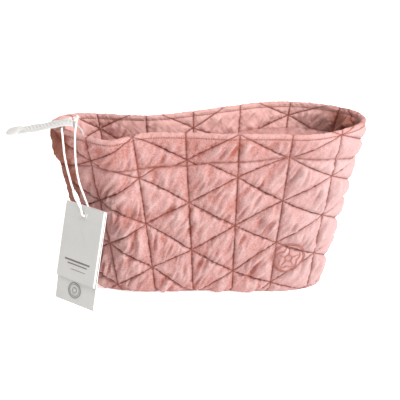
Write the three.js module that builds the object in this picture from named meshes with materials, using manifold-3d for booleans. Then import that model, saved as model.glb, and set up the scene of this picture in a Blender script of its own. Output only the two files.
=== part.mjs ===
// Quilted cotton makeup bag with a recessed zip, a zip tail over its left rim and a paper hang tag.
// Millimetres, +Z up, +X to the right along the mouth. The origin is the middle of the flat base.
import * as THREE from 'three';
import { mergeVertices } from 'three/addons/utils/BufferGeometryUtils.js';
import Module from 'manifold-3d';

const wasm = await Module();
wasm.setup();

// Bag body
const BASE_HALF_LENGTH = 100;
const BASE_HALF_DEPTH = 34;
const BASE_SQUARENESS = 4.5;
const BASE_EDGE_INSET = 4;
const FLARE_POWER = 1.15;
const BULGE = 3;
const STATIONS = 26;
const GAP = 0.3;
const COTTON = 1.2;
const WADDING = 2.2;
const LINING = 0.8;
const LAYERS = COTTON + WADDING + 3 * GAP;
const RECESS_DEPTH = { front: [27, 23.5], back: [28, 21] };

// Zip: its plane rises to the right, and its teeth are joined on the left and parted on the right
const ZIP_LEFT = new THREE.Vector3(-100, 0, 121);
const ZIP_RIGHT = new THREE.Vector3(106, 0, 126);
const ZIP_TILT = Math.atan2(ZIP_RIGHT.z - ZIP_LEFT.z, ZIP_RIGHT.x - ZIP_LEFT.x);
const ZIP_CENTRE = -9;
const ZIP_JOINED = [[-100, ZIP_CENTRE], [-72, ZIP_CENTRE], [-52, ZIP_CENTRE], [-47, ZIP_CENTRE]];
const ZIP_PARTED = {
  front: [
    [-44, -9.2], [-30, -10.6], [-12, -13.2], [14, -15.2], [46, -16], [74, -15.5], [92, -12.5], [106, -8],
  ],
  back: [[-44, -8.7], [-30, -5.4], [-12, 1.2], [14, 9.8], [46, 18], [74, 20.5], [92, 15.5], [106, 8]],
};
const TAPE_WIDTH = 9.6;
const TAPE_THICKNESS = 0.6;
const TAPE_INNER_EDGE = 2.7;
const TOOTH_PITCH = 3;
const TOOTH_WIDTH = 1.1;
const TOOTH_REACH = 0.9;
const TEETH_THICKNESS = 1.6;
const TEETH_BACK = 2.4;
const TEETH_SPINE = 1.3;
const PANEL_THICKNESS = 1.4;
const PANEL_SPAN = { front: [0.13, 0.91], back: [0.14, 0.88] };

// Slider and pull, where the teeth part
const SLIDER_X = -44;
const SLIDER_LENGTH = 9;
const SLIDER_WIDTH = 8.4;
const SLIDER_PLATE = 1;
const SLIDER_LIFT = 1.1;
const SLIDER_FLANGE = 0.6;
const BRIDGE_LENGTH = 7;
const BRIDGE_HEIGHT = 3.4;
const BRIDGE_BAR = 1;
const BRIDGE_WIDTH = 2;
const PULL_LENGTH = 24;
const PULL_WIDTH = 6;
const PULL_THICKNESS = 1.1;
const PULL_EYE = 3;
const PULL_EYE_LENGTH = 5.2;

// Zip tail: its centre line from the teeth's left end over the rim, and the tapes' widths
const TAIL_ROUTE = [
  [-102.5, -9, 123], [-106, -9.3, 133], [-109.5, -9.8, 143.5], [-115, -11.5, 149.6], [-122, -14, 151.2],
  [-130, -15.5, 150.4], [-140, -16, 148.3], [-152, -16, 146.2], [-163, -16, 144.6],
];
const TAIL_TAPE_WIDTH = 8.6;
const TAIL_TEETH_WIDTH = 4.8;
const TAIL_TAB_LENGTH = 9;
const TAIL_TAB_WIDTH = 22;
const TAIL_TAB_THICKNESS = 2.2;

// Hang tag on its cord
const CORD_DIAMETER = 1.8;
const CORD_SIDES = 8;
const CORD_ROUTE = [
  [-113, -50, 102], [-114.8, -48.3, 107], [-116.9, -45.3, 114], [-119, -42, 121.5], [-120.8, -38.2, 129.5],
  [-122, -33.5, 138], [-123, -29, 144.6], [-124, -24, 148.2], [-122.5, -14, 148.7], [-118.5, -4, 148.4],
  [-115.6, 2.5, 149], [-114.4, 4, 151.2], [-113.6, 0.5, 152.6], [-112.9, -9, 152.3], [-112.2, -19, 151.4],
  [-111.8, -27, 149.4], [-111.7, -32.6, 146.6], [-111.8, -35, 141], [-111.9, -36.5, 134.5],
  [-111.5, -38.6, 125], [-110.4, -41.6, 115], [-108.2, -44, 105], [-105, -45.8, 96], [-102.8, -46.6, 89.5],
  [-101.5, -47.2, 85], [-101.4, -48.6, 81.8], [-102.3, -50.2, 80.5], [-103.5, -52, 80.2],
  [-104.8, -54, 80.5], [-105.9, -55.3, 82.4], [-106.5, -55.3, 86.2], [-106.9, -54.9, 88.4],
];
const SEAL_LENGTH = 13;
const SEAL_RADIUS = 1.9;
const CARD_TURN = THREE.MathUtils.degToRad(-34);
const CARD_TILT = THREE.MathUtils.degToRad(-12);
const CARD_ROLL = THREE.MathUtils.degToRad(3);
const CARD_HOLE = new THREE.Vector3(-103.5, -52, 80.2);
const CARD_WIDTH = 43;
const CARD_FRONT_LENGTH = 66;
const CARD_BACK_LENGTH = 87;
const CARD_THICKNESS = 0.8;
const CARD_HOLE_RADIUS = 2.4;
const CARD_HOLE_DROP = 8;

// Rim: the middle of the folded top edge, from the left side seam round the front and back again
const RIM_FRONT = [
  [-135, 6, 147], [-131, -8, 146.5], [-122, -21, 146], [-105, -35, 145], [-82, -48, 144], [-56, -41, 148],
  [-20, -40, 148.6], [14, -45, 148.6], [52, -45, 148.6], [88, -46, 148.6], [113, -35, 149.8], [132, -19, 151.5],
];
const RIM_BACK = [
  [137, -2, 152.6], [131, 13, 154], [112, 31, 154.5], [84, 49, 153.5], [52, 52, 152.5], [22, 42, 151.5],
  [-14, 27, 150.5], [-48, 19, 149], [-76, 24, 148], [-100, 33, 147], [-120, 32, 147], [-131, 20, 147],
];

const CLOTH = { roughness: 0.95, metalness: 0 };
const cotton = new THREE.MeshStandardMaterial({ color: 0xd9a5a0, ...CLOTH });
const liningCotton = new THREE.MeshStandardMaterial({ color: 0xd3a09c, ...CLOTH });
const wadding = new THREE.MeshStandardMaterial({ color: 0xece6de, ...CLOTH });
const tape = new THREE.MeshStandardMaterial({ color: 0xeeedf0, ...CLOTH });
const teeth = new THREE.MeshStandardMaterial({ color: 0xf1f0f0, roughness: 0.5, metalness: 0 });
const metal = new THREE.MeshStandardMaterial({ color: 0xc9c6c2, roughness: 0.3, metalness: 1 });
const paper = new THREE.MeshStandardMaterial({ color: 0xcfc8c1, roughness: 0.85, metalness: 0 });
const plastic = new THREE.MeshStandardMaterial({ color: 0xf4f3f1, roughness: 0.4, metalness: 0 });

const bag = new THREE.Group();

function addPiece(parent, name, geometry, material) {
  const mesh = new THREE.Mesh(geometry, material);
  mesh.name = name;
  parent.add(mesh);
  return mesh;
}

// ---- Outlines -------------------------------------------------------------------------------

// A polyline's point at a fraction of its length.
function pointAlong(line, fraction) {
  const lengths = [0];
  for (let i = 1; i < line.length; i += 1) {
    lengths.push(lengths[i - 1] + line[i].distanceTo(line[i - 1]));
  }
  const target = fraction * lengths[lengths.length - 1];
  let i = 1;
  while (i < line.length - 1 && lengths[i] < target) i += 1;
  const along = (target - lengths[i - 1]) / (lengths[i] - lengths[i - 1]);
  return line[i - 1].clone().lerp(line[i], along);
}

function rimHalves() {
  const points = [...RIM_FRONT, ...RIM_BACK].map((p) => new THREE.Vector3(...p));
  const curve = new THREE.CatmullRomCurve3(points, true, 'centripetal');
  const perPoint = 12;
  const total = points.length * perPoint;
  const samples = Array.from({ length: total + 1 }, (_, i) => curve.getPoint(i / total));
  const seam = RIM_FRONT.length * perPoint;
  return [samples.slice(0, seam + 1), samples.slice(seam)];
}

function baseHalf(side) {
  const power = 2 / BASE_SQUARENESS;
  const samples = [];
  for (let i = 0; i <= 96; i += 1) {
    const angle = Math.PI + side * Math.PI * (i / 96);
    const c = Math.cos(angle);
    const s = Math.sin(angle);
    const x = BASE_HALF_LENGTH * Math.sign(c) * Math.abs(c) ** power;
    const y = BASE_HALF_DEPTH * Math.sign(s) * Math.abs(s) ** power;
    samples.push(new THREE.Vector3(x, y, 0));
  }
  return samples;
}

const [rimFront, rimBack] = rimHalves();
const rims = { front: rimFront, back: rimBack.reverse() };
const bases = { front: baseHalf(1), back: baseHalf(-1) };

// A point of the outer face: t runs from the left seam to the right one, height from 0 to 1.
function facePoint(half, t, height) {
  const rim = pointAlong(rims[half], t);
  const base = pointAlong(bases[half], t);
  const inset = BASE_EDGE_INSET * Math.max(0, 1 - height / 0.035);
  const radial = base.clone().setLength(Math.max(0, base.length() - inset));
  const point = radial.lerp(rim, height ** FLARE_POWER);
  const swell = BULGE * Math.sin(Math.PI * height) * Math.sin(Math.PI * t);
  point.y += (half === 'front' ? -1 : 1) * swell;
  point.z = rim.z * height;
  return point;
}

// The outward direction of the outer face in plan.
function faceNormal(half, t, height) {
  const step = 0.012;
  const other = half === 'front' ? 'back' : 'front';
  const before = t < step ? facePoint(other, step - t, height) : facePoint(half, t - step, height);
  const after = t > 1 - step ? facePoint(other, 2 - t - step, height) : facePoint(half, t + step, height);
  const along = after.sub(before);
  const normal = new THREE.Vector3(along.y, -along.x, 0).normalize();
  if (half === 'back') normal.negate();
  return normal;
}

function recessHeight(half, t) {
  const [left, right] = RECESS_DEPTH[half];
  return pointAlong(rims[half], t).z - THREE.MathUtils.lerp(left, right, t);
}

function insetPoint(half, t, z, inset) {
  const rimZ = pointAlong(rims[half], t).z;
  const height = z / rimZ;
  const point = facePoint(half, t, height);
  point.addScaledVector(faceNormal(half, t, height), -inset);
  point.z = z;
  return point;
}

// ---- Closed solids from sections ---------------------------------------------------------------

// Triangles that fill a ring of points, all turning the way the ring does.
function fillRing(ring) {
  const normal = new THREE.Vector3();
  ring.forEach((p, i) => normal.add(p.clone().cross(ring[(i + 1) % ring.length])));
  normal.normalize();
  const side = Math.abs(normal.z) < 0.9 ? new THREE.Vector3(0, 0, 1) : new THREE.Vector3(1, 0, 0);
  const across = new THREE.Vector3().crossVectors(side, normal).normalize();
  const up = new THREE.Vector3().crossVectors(normal, across);
  const flat = ring.map((p) => new THREE.Vector2(p.dot(across), p.dot(up)));
  return THREE.ShapeUtils.triangulateShape(flat, []).map((face) => {
    const turn = THREE.ShapeUtils.area(face.map((k) => flat[k]));
    return turn > 0 ? face : [face[0], face[2], face[1]];
  });
}

// Joins equal rings of points into one closed solid.
function loftSections(rings) {
  const count = rings[0].length;
  const positions = rings.flat().flatMap((p) => [p.x, p.y, p.z]);
  const indices = [];
  for (let i = 0; i < rings.length - 1; i += 1) {
    for (let j = 0; j < count; j += 1) {
      const next = (j + 1) % count;
      const [a, b] = [i * count + j, i * count + next];
      const [c, d] = [a + count, b + count];
      if (rings[i][j].z <= rings[i][next].z) indices.push(a, c, b, b, c, d);
      else indices.push(a, c, d, a, d, b);
    }
  }
  const last = (rings.length - 1) * count;
  fillRing(rings[0]).forEach(([a, b, c]) => indices.push(a, b, c));
  fillRing(rings[rings.length - 1]).forEach(([a, b, c]) => indices.push(last + a, last + c, last + b));
  const geometry = new THREE.BufferGeometry();
  geometry.setAttribute('position', new THREE.Float32BufferAttribute(positions, 3));
  geometry.setIndex(indices);
  return faceOutwards(geometry);
}

function signedVolume(geometry) {
  const { array } = geometry.attributes.position;
  const index = geometry.index.array;
  const corner = (k) => new THREE.Vector3().fromArray(array, 3 * index[k]);
  let volume = 0;
  for (let i = 0; i < index.length; i += 3) {
    volume += corner(i).dot(corner(i + 1).cross(corner(i + 2)));
  }
  return volume;
}

function faceOutwards(geometry) {
  if (signedVolume(geometry) < 0) {
    const index = geometry.index.array;
    for (let i = 0; i < index.length; i += 3) {
      [index[i + 1], index[i + 2]] = [index[i + 2], index[i + 1]];
    }
  }
  geometry.computeVertexNormals();
  return geometry;
}

function toManifold(geometry) {
  const bare = geometry.clone();
  bare.deleteAttribute('normal');
  bare.deleteAttribute('uv');
  const merged = mergeVertices(bare, 1e-4);
  return new wasm.Manifold(new wasm.Mesh({
    numProp: 3,
    vertProperties: new Float32Array(merged.attributes.position.array),
    triVerts: new Uint32Array(merged.index.array),
  }));
}

function fromManifold(solid) {
  const mesh = solid.getMesh();
  const geometry = new THREE.BufferGeometry();
  geometry.setAttribute('position', new THREE.BufferAttribute(mesh.vertProperties, 3));
  geometry.setIndex(new THREE.BufferAttribute(mesh.triVerts, 1));
  geometry.computeVertexNormals();
  return geometry;
}

function join(first, second) {
  return fromManifold(toManifold(first).add(toManifold(second)));
}

function stationsBetween(start, end, count) {
  return Array.from({ length: count + 1 }, (_, i) => start + (end - start) * (i / count));
}

// ---- Bag layers --------------------------------------------------------------------------------

const SEAM_TRIM = 0.0012;
const BASE_TRIM = 0.25;
const BASE_TONGUE = 5;
const TONGUE_MARGIN = 8;

// A wall of one half. Its section is a list of [inset, place] pairs, where place gives the height in mm.
function wallSolid(half, section) {
  const rings = stationsBetween(SEAM_TRIM, 1 - SEAM_TRIM, STATIONS).map((t) => {
    const rimZ = pointAlong(rims[half], t).z;
    return section.map(([inset, place]) => insetPoint(half, t, place(rimZ, t), inset));
  });
  return loftSections(rings);
}

// Where one half of a floor ends: the front half has a tongue that holds the middle of the base.
function floorEdge(side, left, right) {
  const inner = side * BASE_TRIM;
  const tongue = BASE_TONGUE + inner;
  const [from, to] = [left + TONGUE_MARGIN - inner, right - TONGUE_MARGIN + inner];
  const line = [[right, inner], [to, inner], [to, tongue], [from, tongue], [from, inner], [left, inner]];
  return line.map(([x, y]) => new THREE.Vector2(x, y));
}

// One half of a flat layer under or over the base.
function baseSolid(half, inset, bottom, top) {
  const side = half === 'front' ? -1 : 1;
  const edge = stationsBetween(0, 1, STATIONS).map((t) => insetPoint(half, t, bottom, inset));
  const inner = edge.filter((p) => side * p.y > BASE_TRIM + 0.4);
  const plan = inner.map((p) => new THREE.Vector2(p.x, p.y));
  plan.push(...floorEdge(side, inner[0].x, inner[inner.length - 1].x));
  const lift = (z) => plan.map((p) => new THREE.Vector3(p.x, p.y, z));
  return loftSections([lift(bottom), lift(top)]);
}

// The heights of every wall's rows between its floor and its top, as fractions of the rim's height.
const ROWS = [0.035, 0.25, 0.5, 0.75];

function rise(inset, bottom, top) {
  const rows = ROWS.map((row) => [inset, (rimZ) => row * rimZ]);
  return [[inset, () => bottom], ...rows, [inset, top]];
}

function outerSolid(half) {
  const facing = LAYERS + COTTON;
  const recess = (rimZ, t) => recessHeight(half, t);
  const foldUnderside = (rimZ) => rimZ - COTTON - 0.4;
  const section = [
    ...rise(0, 0, (rimZ) => rimZ - 1),
    [1, (rimZ) => rimZ],
    [facing - 1, (rimZ) => rimZ],
    [facing, (rimZ) => rimZ - 1],
    [facing, recess],
    [LAYERS, recess],
    [LAYERS, foldUnderside],
    ...rise(COTTON, 0, foldUnderside).reverse(),
  ];
  return join(wallSolid(half, section), baseSolid(half, 0.4, 0, COTTON));
}

function innerSolid(half, inset, thickness, floor, top) {
  const section = [...rise(inset, floor, top), ...rise(inset + thickness, floor, top).reverse()];
  const slab = baseSolid(half, inset + 0.35, floor + 0.1, floor + thickness);
  return join(wallSolid(half, section), slab);
}

for (const half of ['front', 'back']) {
  const waddingInset = COTTON + GAP;
  const underFold = (rimZ) => rimZ - COTTON - 0.7;
  const underFacing = (rimZ, t) => recessHeight(half, t) - GAP;
  addPiece(bag, `outer_${half}`, outerSolid(half), cotton);
  const fill = innerSolid(half, waddingInset, WADDING, waddingInset, underFold);
  addPiece(bag, `wadding_${half}`, fill, wadding);
  const skin = innerSolid(half, LAYERS, LINING, LAYERS, underFacing);
  addPiece(bag, `lining_${half}`, skin, liningCotton);
}

// ---- Zip tapes, teeth and panels ---------------------------------------------------------------

const zip = new THREE.Group();
zip.position.copy(ZIP_LEFT);
zip.rotation.y = -ZIP_TILT;
bag.add(zip);

function extrudeFlat(shape, thickness) {
  const settings = { depth: thickness, bevelEnabled: false, curveSegments: 6 };
  const geometry = new THREE.ExtrudeGeometry(shape, settings);
  geometry.translate(0, 0, -thickness / 2);
  return geometry;
}

// The line of one row of teeth, in the zip's own plane with x from the zip's left end.
function teethLine(half) {
  const points = [...ZIP_JOINED, ...ZIP_PARTED[half]];
  return new THREE.SplineCurve(points.map(([x, y]) => new THREE.Vector2(x - ZIP_LEFT.x, y)));
}

const teethLines = { front: teethLine('front'), back: teethLine('back') };

// A point beside a teeth line: u is the fraction along it and offset is to its back side.
function besideLine(half, u, offset) {
  const tangent = teethLines[half].getTangentAt(u);
  const normal = new THREE.Vector2(-tangent.y, tangent.x);
  return teethLines[half].getPointAt(u).addScaledVector(normal, offset);
}

function tapeGeometry(half, side) {
  const fractions = stationsBetween(0.003, 1, 20);
  const outer = side * (TAPE_INNER_EDGE + TAPE_WIDTH);
  const near = fractions.map((u) => besideLine(half, u, side * TAPE_INNER_EDGE));
  const far = fractions.map((u) => besideLine(half, u, outer)).reverse();
  return extrudeFlat(new THREE.Shape([...near, ...far]), TAPE_THICKNESS);
}

// A comb of teeth: the front row's teeth point to +Y, the back row's to -Y, half a pitch along.
function teethGeometry(half, side) {
  const length = teethLines[half].getLength();
  const place = (distance, offset) => besideLine(half, distance / length, side * offset);
  const [start, end] = [1, length - 2];
  const outline = [place(start, TEETH_SPINE)];
  const first = start + (side < 0 ? 1 : 1 + TOOTH_PITCH / 2);
  const backEdge = [place(start, TEETH_BACK)];
  for (let d = first; d + TOOTH_WIDTH < end - 0.5; d += TOOTH_PITCH) {
    outline.push(place(d, TEETH_SPINE), place(d, -TOOTH_REACH));
    outline.push(place(d + TOOTH_WIDTH, -TOOTH_REACH), place(d + TOOTH_WIDTH, TEETH_SPINE));
  }
  stationsBetween(start, end, 20).slice(1).forEach((d) => backEdge.push(place(d, TEETH_BACK)));
  outline.push(place(end, TEETH_SPINE), ...backEdge.reverse());
  return extrudeFlat(new THREE.Shape(outline), TEETH_THICKNESS);
}

// The tape's outer edge in the bag's frame, at a given x.
function tapeEdge(half, side, x) {
  const fractions = stationsBetween(0.01, 1, 60);
  const edge = fractions.map((u) => besideLine(half, u, side * (TAPE_INNER_EDGE + TAPE_WIDTH + 2 * GAP)));
  const goal = x - ZIP_LEFT.x;
  const nearest = edge.reduce((best, p) => (Math.abs(p.x - goal) < Math.abs(best.x - goal) ? p : best));
  const rise = Math.tan(ZIP_TILT) * nearest.x;
  return new THREE.Vector3(nearest.x + ZIP_LEFT.x, nearest.y, ZIP_LEFT.z + rise - PANEL_THICKNESS / 2);
}

// Each panel runs from the collar's recess seam to the outer edge of its zip tape.
function panelSolid(half, side) {
  const wallInset = LAYERS + COTTON + 3 * GAP;
  const up = new THREE.Vector3(0, 0, PANEL_THICKNESS);
  const rings = stationsBetween(...PANEL_SPAN[half], 18).map((t) => {
    const wall = insetPoint(half, t, recessHeight(half, t) + 1, wallInset);
    const edge = tapeEdge(half, side, wall.x);
    return [wall, edge, edge.clone().add(up), wall.clone().add(up)];
  });
  return loftSections(rings);
}

// The stop clamped on the parted end of a tape.
function topStopGeometry(half, side) {
  const length = teethLines[half].getLength();
  const [near, far] = [side * (TEETH_SPINE - 0.8), side * TEETH_BACK];
  const [low, high] = [(length - 1.6) / length, 1];
  const corners = [[low, near], [high, near], [high, far], [low, far]];
  const outline = corners.map(([u, offset]) => besideLine(half, u, offset));
  return extrudeFlat(new THREE.Shape(outline), TEETH_THICKNESS + 0.6);
}

for (const [half, side] of [['front', -1], ['back', 1]]) {
  addPiece(zip, `zip_top_stop_${half}`, topStopGeometry(half, side), metal);
  addPiece(bag, `zip_panel_${half}`, panelSolid(half, side), cotton);
  addPiece(zip, `zip_tape_${half}`, tapeGeometry(half, side), tape);
  addPiece(zip, `zip_teeth_${half}`, teethGeometry(half, side), teeth);
}

// ---- Slider and pull ---------------------------------------------------------------------------

function sliderPlan() {
  const [nose, tail] = [SLIDER_LENGTH / 2, SLIDER_WIDTH / 2];
  const shape = new THREE.Shape();
  shape.moveTo(-nose, -tail + 1.4);
  shape.lineTo(-nose + 2.4, -tail);
  shape.lineTo(nose - 1.5, -tail);
  shape.absarc(nose - 1.5, -tail + 1.5, 1.5, -Math.PI / 2, 0, false);
  shape.absarc(nose - 1.5, tail - 1.5, 1.5, 0, Math.PI / 2, false);
  shape.lineTo(-nose + 2.4, tail);
  shape.lineTo(-nose, tail - 1.4);
  shape.closePath();
  return shape;
}

// The bridge's side view: a low arch with an open window for the pull's bar.
function bridgeGeometry() {
  const half = BRIDGE_LENGTH / 2;
  const arch = new THREE.Shape();
  arch.moveTo(-half, -0.4);
  arch.lineTo(half, -0.4);
  arch.lineTo(half, BRIDGE_HEIGHT - 1);
  arch.absarc(half - 1, BRIDGE_HEIGHT - 1, 1, 0, Math.PI / 2, false);
  arch.absarc(-half + 1, BRIDGE_HEIGHT - 1, 1, Math.PI / 2, Math.PI, false);
  arch.closePath();
  const window = new THREE.Path();
  const [x, top] = [half - BRIDGE_BAR, BRIDGE_HEIGHT - BRIDGE_BAR];
  window.moveTo(-x, 0);
  window.lineTo(-x, top);
  window.lineTo(x, top);
  window.lineTo(x, 0);
  window.closePath();
  arch.holes.push(window);
  const geometry = extrudeFlat(arch, BRIDGE_WIDTH);
  geometry.rotateX(Math.PI / 2);
  return geometry;
}

function sliderGeometry() {
  const plate = extrudeFlat(sliderPlan(), SLIDER_PLATE);
  let body = toManifold(plate);
  for (const side of [-1, 1]) {
    const flange = new THREE.BoxGeometry(SLIDER_LENGTH - 4, 1, SLIDER_FLANGE + 0.4);
    flange.translate(0.6, side * (SLIDER_WIDTH / 2 - 0.6), -SLIDER_PLATE / 2 - SLIDER_FLANGE / 2);
    body = body.add(toManifold(flange));
  }
  const bridge = bridgeGeometry();
  bridge.translate(0, 0, SLIDER_PLATE / 2);
  return fromManifold(body.add(toManifold(bridge)));
}

const slider = new THREE.Group();
slider.position.set(SLIDER_X - ZIP_LEFT.x, ZIP_CENTRE, SLIDER_LIFT + SLIDER_FLANGE + SLIDER_PLATE / 2);
zip.add(slider);
addPiece(slider, 'zip_slider', sliderGeometry(), metal);

// The pull lies flat towards the left; its bar sits in the bridge's window.
function pullGeometry() {
  const half = PULL_WIDTH / 2;
  const plan = new THREE.Shape();
  plan.moveTo(0.7, -half + 1);
  plan.lineTo(0.7, half - 1);
  plan.lineTo(-1, half);
  plan.lineTo(-PULL_LENGTH + half, half - 0.4);
  plan.absarc(-PULL_LENGTH + half, 0, half - 0.4, Math.PI / 2, -Math.PI / 2, false);
  plan.lineTo(-1, -half);
  plan.closePath();
  const eye = new THREE.Path();
  eye.moveTo(-0.5, -PULL_EYE / 2);
  eye.lineTo(-0.5 - PULL_EYE_LENGTH, -PULL_EYE / 2);
  eye.lineTo(-0.5 - PULL_EYE_LENGTH, PULL_EYE / 2);
  eye.lineTo(-0.5, PULL_EYE / 2);
  eye.closePath();
  plan.holes.push(eye);
  return extrudeFlat(plan, PULL_THICKNESS);
}

const pull = new THREE.Group();
pull.position.set(1.2, 0, SLIDER_PLATE / 2 + BRIDGE_HEIGHT - BRIDGE_BAR - 1.1);
slider.add(pull);
addPiece(pull, 'zip_pull', pullGeometry(), metal);

// ---- Zip tail ----------------------------------------------------------------------------------

const tailCurve = new THREE.CatmullRomCurve3(TAIL_ROUTE.map((p) => new THREE.Vector3(...p)));

// A flat strip along a curve, between two places across it and two heights over it.
function ribbon(curve, start, end, steps, left, right, low, high) {
  const rings = stationsBetween(start, end, steps).map((u) => {
    const centre = curve.getPointAt(u);
    const tangent = curve.getTangentAt(u);
    const across = new THREE.Vector3(0, 1, 0).addScaledVector(tangent, -tangent.y).normalize();
    const up = new THREE.Vector3().crossVectors(across, tangent).normalize();
    if (up.z < 0) up.negate();
    const place = (a, h) => centre.clone().addScaledVector(across, a).addScaledVector(up, h);
    return [place(left, low), place(right, low), place(right, high), place(left, high)];
  });
  return loftSections(rings);
}

// The fixed stretch lies over the rim and the free end hinges at its outer end, where the zip bends.
const tailEdge = TAIL_TEETH_WIDTH / 2 + GAP;
const hingeFraction = 0.62;
const hingeGap = 0.6 / tailCurve.getLength();
const stopFraction = 1 - 3.4 / tailCurve.getLength();
const stretches = [
  ['bridge', 0, hingeFraction - hingeGap, hingeFraction - hingeGap, 12],
  ['end', hingeFraction + hingeGap, 1, stopFraction, 5],
];
for (const [place, start, end, teethEnd, steps] of stretches) {
  for (const [name, side] of [['front', -1], ['back', 1]]) {
    const [near, far] = [side * tailEdge, side * (tailEdge + TAIL_TAPE_WIDTH)];
    const [low, high] = [-TAPE_THICKNESS / 2, TAPE_THICKNESS / 2];
    const strip = ribbon(tailCurve, start, end, steps, Math.min(near, far), Math.max(near, far), low, high);
    addPiece(bag, `tail_${place}_tape_${name}`, strip, tape);
  }
  const half = TAIL_TEETH_WIDTH / 2;
  const strip = ribbon(tailCurve, start, teethEnd, steps, -half, half, -0.7, 0.7);
  addPiece(bag, `tail_${place}_teeth`, strip, teeth);
}
const stopStart = stopFraction + 0.6 / tailCurve.getLength();
addPiece(bag, 'tail_stop', ribbon(tailCurve, stopStart, 0.999, 1, -2.4, 2.4, -1, 1), metal);

function tailTabGeometry() {
  const half = TAIL_TAB_WIDTH / 2;
  const plan = new THREE.Shape();
  plan.moveTo(0, -half);
  plan.lineTo(0, half);
  plan.lineTo(-TAIL_TAB_LENGTH + 3, half - 1);
  plan.lineTo(-TAIL_TAB_LENGTH, half - 5);
  plan.lineTo(-TAIL_TAB_LENGTH, -half + 5);
  plan.lineTo(-TAIL_TAB_LENGTH + 3, -half + 1);
  plan.closePath();
  return extrudeFlat(plan, TAIL_TAB_THICKNESS);
}

const tailEnd = tailCurve.getPointAt(1);
const tailRun = tailCurve.getTangentAt(1);
const tab = addPiece(bag, 'tail_end_tab', tailTabGeometry(), tape);
tab.position.copy(tailEnd).addScaledVector(tailRun, 0.8);
tab.rotation.y = Math.atan2(tailRun.z, -tailRun.x);

// ---- Tag cord, seal and cards ------------------------------------------------------------------

const cordCurve = new THREE.CatmullRomCurve3(CORD_ROUTE.map((p) => new THREE.Vector3(...p)));

function cordGeometry() {
  const section = new THREE.Shape();
  for (let i = 0; i < CORD_SIDES; i += 1) {
    const angle = (2 * Math.PI * i) / CORD_SIDES;
    const [x, y] = [Math.cos(angle), Math.sin(angle)].map((v) => (v * CORD_DIAMETER) / 2);
    if (i === 0) section.moveTo(x, y);
    else section.lineTo(x, y);
  }
  section.closePath();
  const steps = Math.round(cordCurve.getLength() / (2.5 * CORD_DIAMETER));
  return new THREE.ExtrudeGeometry(section, { steps, extrudePath: cordCurve });
}

addPiece(bag, 'tag_cord', cordGeometry(), tape);

// A rounded stub between two points.
function stubGeometry(from, to, radius) {
  const length = from.distanceTo(to);
  const profile = [
    [0, 0], [radius * 0.7, 0], [radius, radius * 0.4], [radius, length - radius * 0.4],
    [radius * 0.7, length], [0, length],
  ].map(([r, h]) => new THREE.Vector2(r, h));
  const geometry = new THREE.LatheGeometry(profile, 10);
  const up = new THREE.Vector3(0, 1, 0);
  const turn = new THREE.Quaternion().setFromUnitVectors(up, to.clone().sub(from).normalize());
  geometry.applyQuaternion(turn);
  geometry.translate(from.x, from.y, from.z);
  return geometry;
}

// The seal fills the gap between the cord's two ends, in a socket half and a plug half.
const cordStart = new THREE.Vector3(...CORD_ROUTE[0]);
const cordFinish = new THREE.Vector3(...CORD_ROUTE[CORD_ROUTE.length - 1]);
const sealAxis = cordFinish.clone().sub(cordStart).normalize();
const sealPoint = (distance) => cordStart.clone().addScaledVector(sealAxis, distance);
const sealEnd = cordStart.distanceTo(cordFinish) - GAP;
const sealSplit = sealEnd - SEAL_LENGTH * 0.4;
const socket = stubGeometry(sealPoint(GAP), sealPoint(sealSplit), SEAL_RADIUS);
const plug = stubGeometry(sealPoint(sealSplit + GAP), sealPoint(sealEnd), SEAL_RADIUS * 0.75);
addPiece(bag, 'seal_barrel', socket, plastic);
addPiece(bag, 'seal_plug', plug, plastic);

const card = new THREE.Group();
card.position.copy(CARD_HOLE);
card.rotation.set(CARD_TILT, CARD_ROLL, CARD_TURN, 'ZXY');
bag.add(card);

// A card hanging down from its punched hole, in the group's X-Z plane.
function cardGeometry(length) {
  const half = CARD_WIDTH / 2;
  const plan = new THREE.Shape();
  plan.moveTo(-half, CARD_HOLE_DROP - length);
  plan.lineTo(half, CARD_HOLE_DROP - length);
  plan.lineTo(half, CARD_HOLE_DROP);
  plan.lineTo(-half, CARD_HOLE_DROP);
  plan.closePath();
  const hole = new THREE.Path();
  hole.absarc(0, 0, CARD_HOLE_RADIUS, 0, 2 * Math.PI, true);
  plan.holes.push(hole);
  const geometry = extrudeFlat(plan, CARD_THICKNESS);
  geometry.rotateX(Math.PI / 2);
  return geometry;
}

const frontCard = cardGeometry(CARD_FRONT_LENGTH);
frontCard.translate(0, -0.6, 0);
addPiece(card, 'tag_card_front', frontCard, paper);
const backCard = cardGeometry(CARD_BACK_LENGTH);
backCard.translate(0, 0.6, 0);
addPiece(card, 'tag_card_back', backCard, paper);

export default bag;
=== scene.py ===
import math

import bpy
import numpy as np
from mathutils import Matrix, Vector


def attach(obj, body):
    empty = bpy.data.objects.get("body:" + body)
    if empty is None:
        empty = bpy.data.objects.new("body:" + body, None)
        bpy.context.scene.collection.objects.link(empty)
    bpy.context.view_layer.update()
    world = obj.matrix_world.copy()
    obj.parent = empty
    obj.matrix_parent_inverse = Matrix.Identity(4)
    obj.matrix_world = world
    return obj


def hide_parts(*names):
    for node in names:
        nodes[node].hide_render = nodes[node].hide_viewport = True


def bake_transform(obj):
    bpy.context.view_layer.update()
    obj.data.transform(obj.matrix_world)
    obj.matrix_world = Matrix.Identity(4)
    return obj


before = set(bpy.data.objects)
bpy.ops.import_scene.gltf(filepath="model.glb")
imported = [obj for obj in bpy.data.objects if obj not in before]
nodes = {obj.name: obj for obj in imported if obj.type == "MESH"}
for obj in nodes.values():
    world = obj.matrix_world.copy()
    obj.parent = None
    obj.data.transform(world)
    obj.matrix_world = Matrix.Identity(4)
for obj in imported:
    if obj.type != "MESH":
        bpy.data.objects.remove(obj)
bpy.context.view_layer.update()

# Shapes are worked out in millimetres, as in the CAD source, and become metres when a mesh is made.
MM = 0.001

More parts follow.
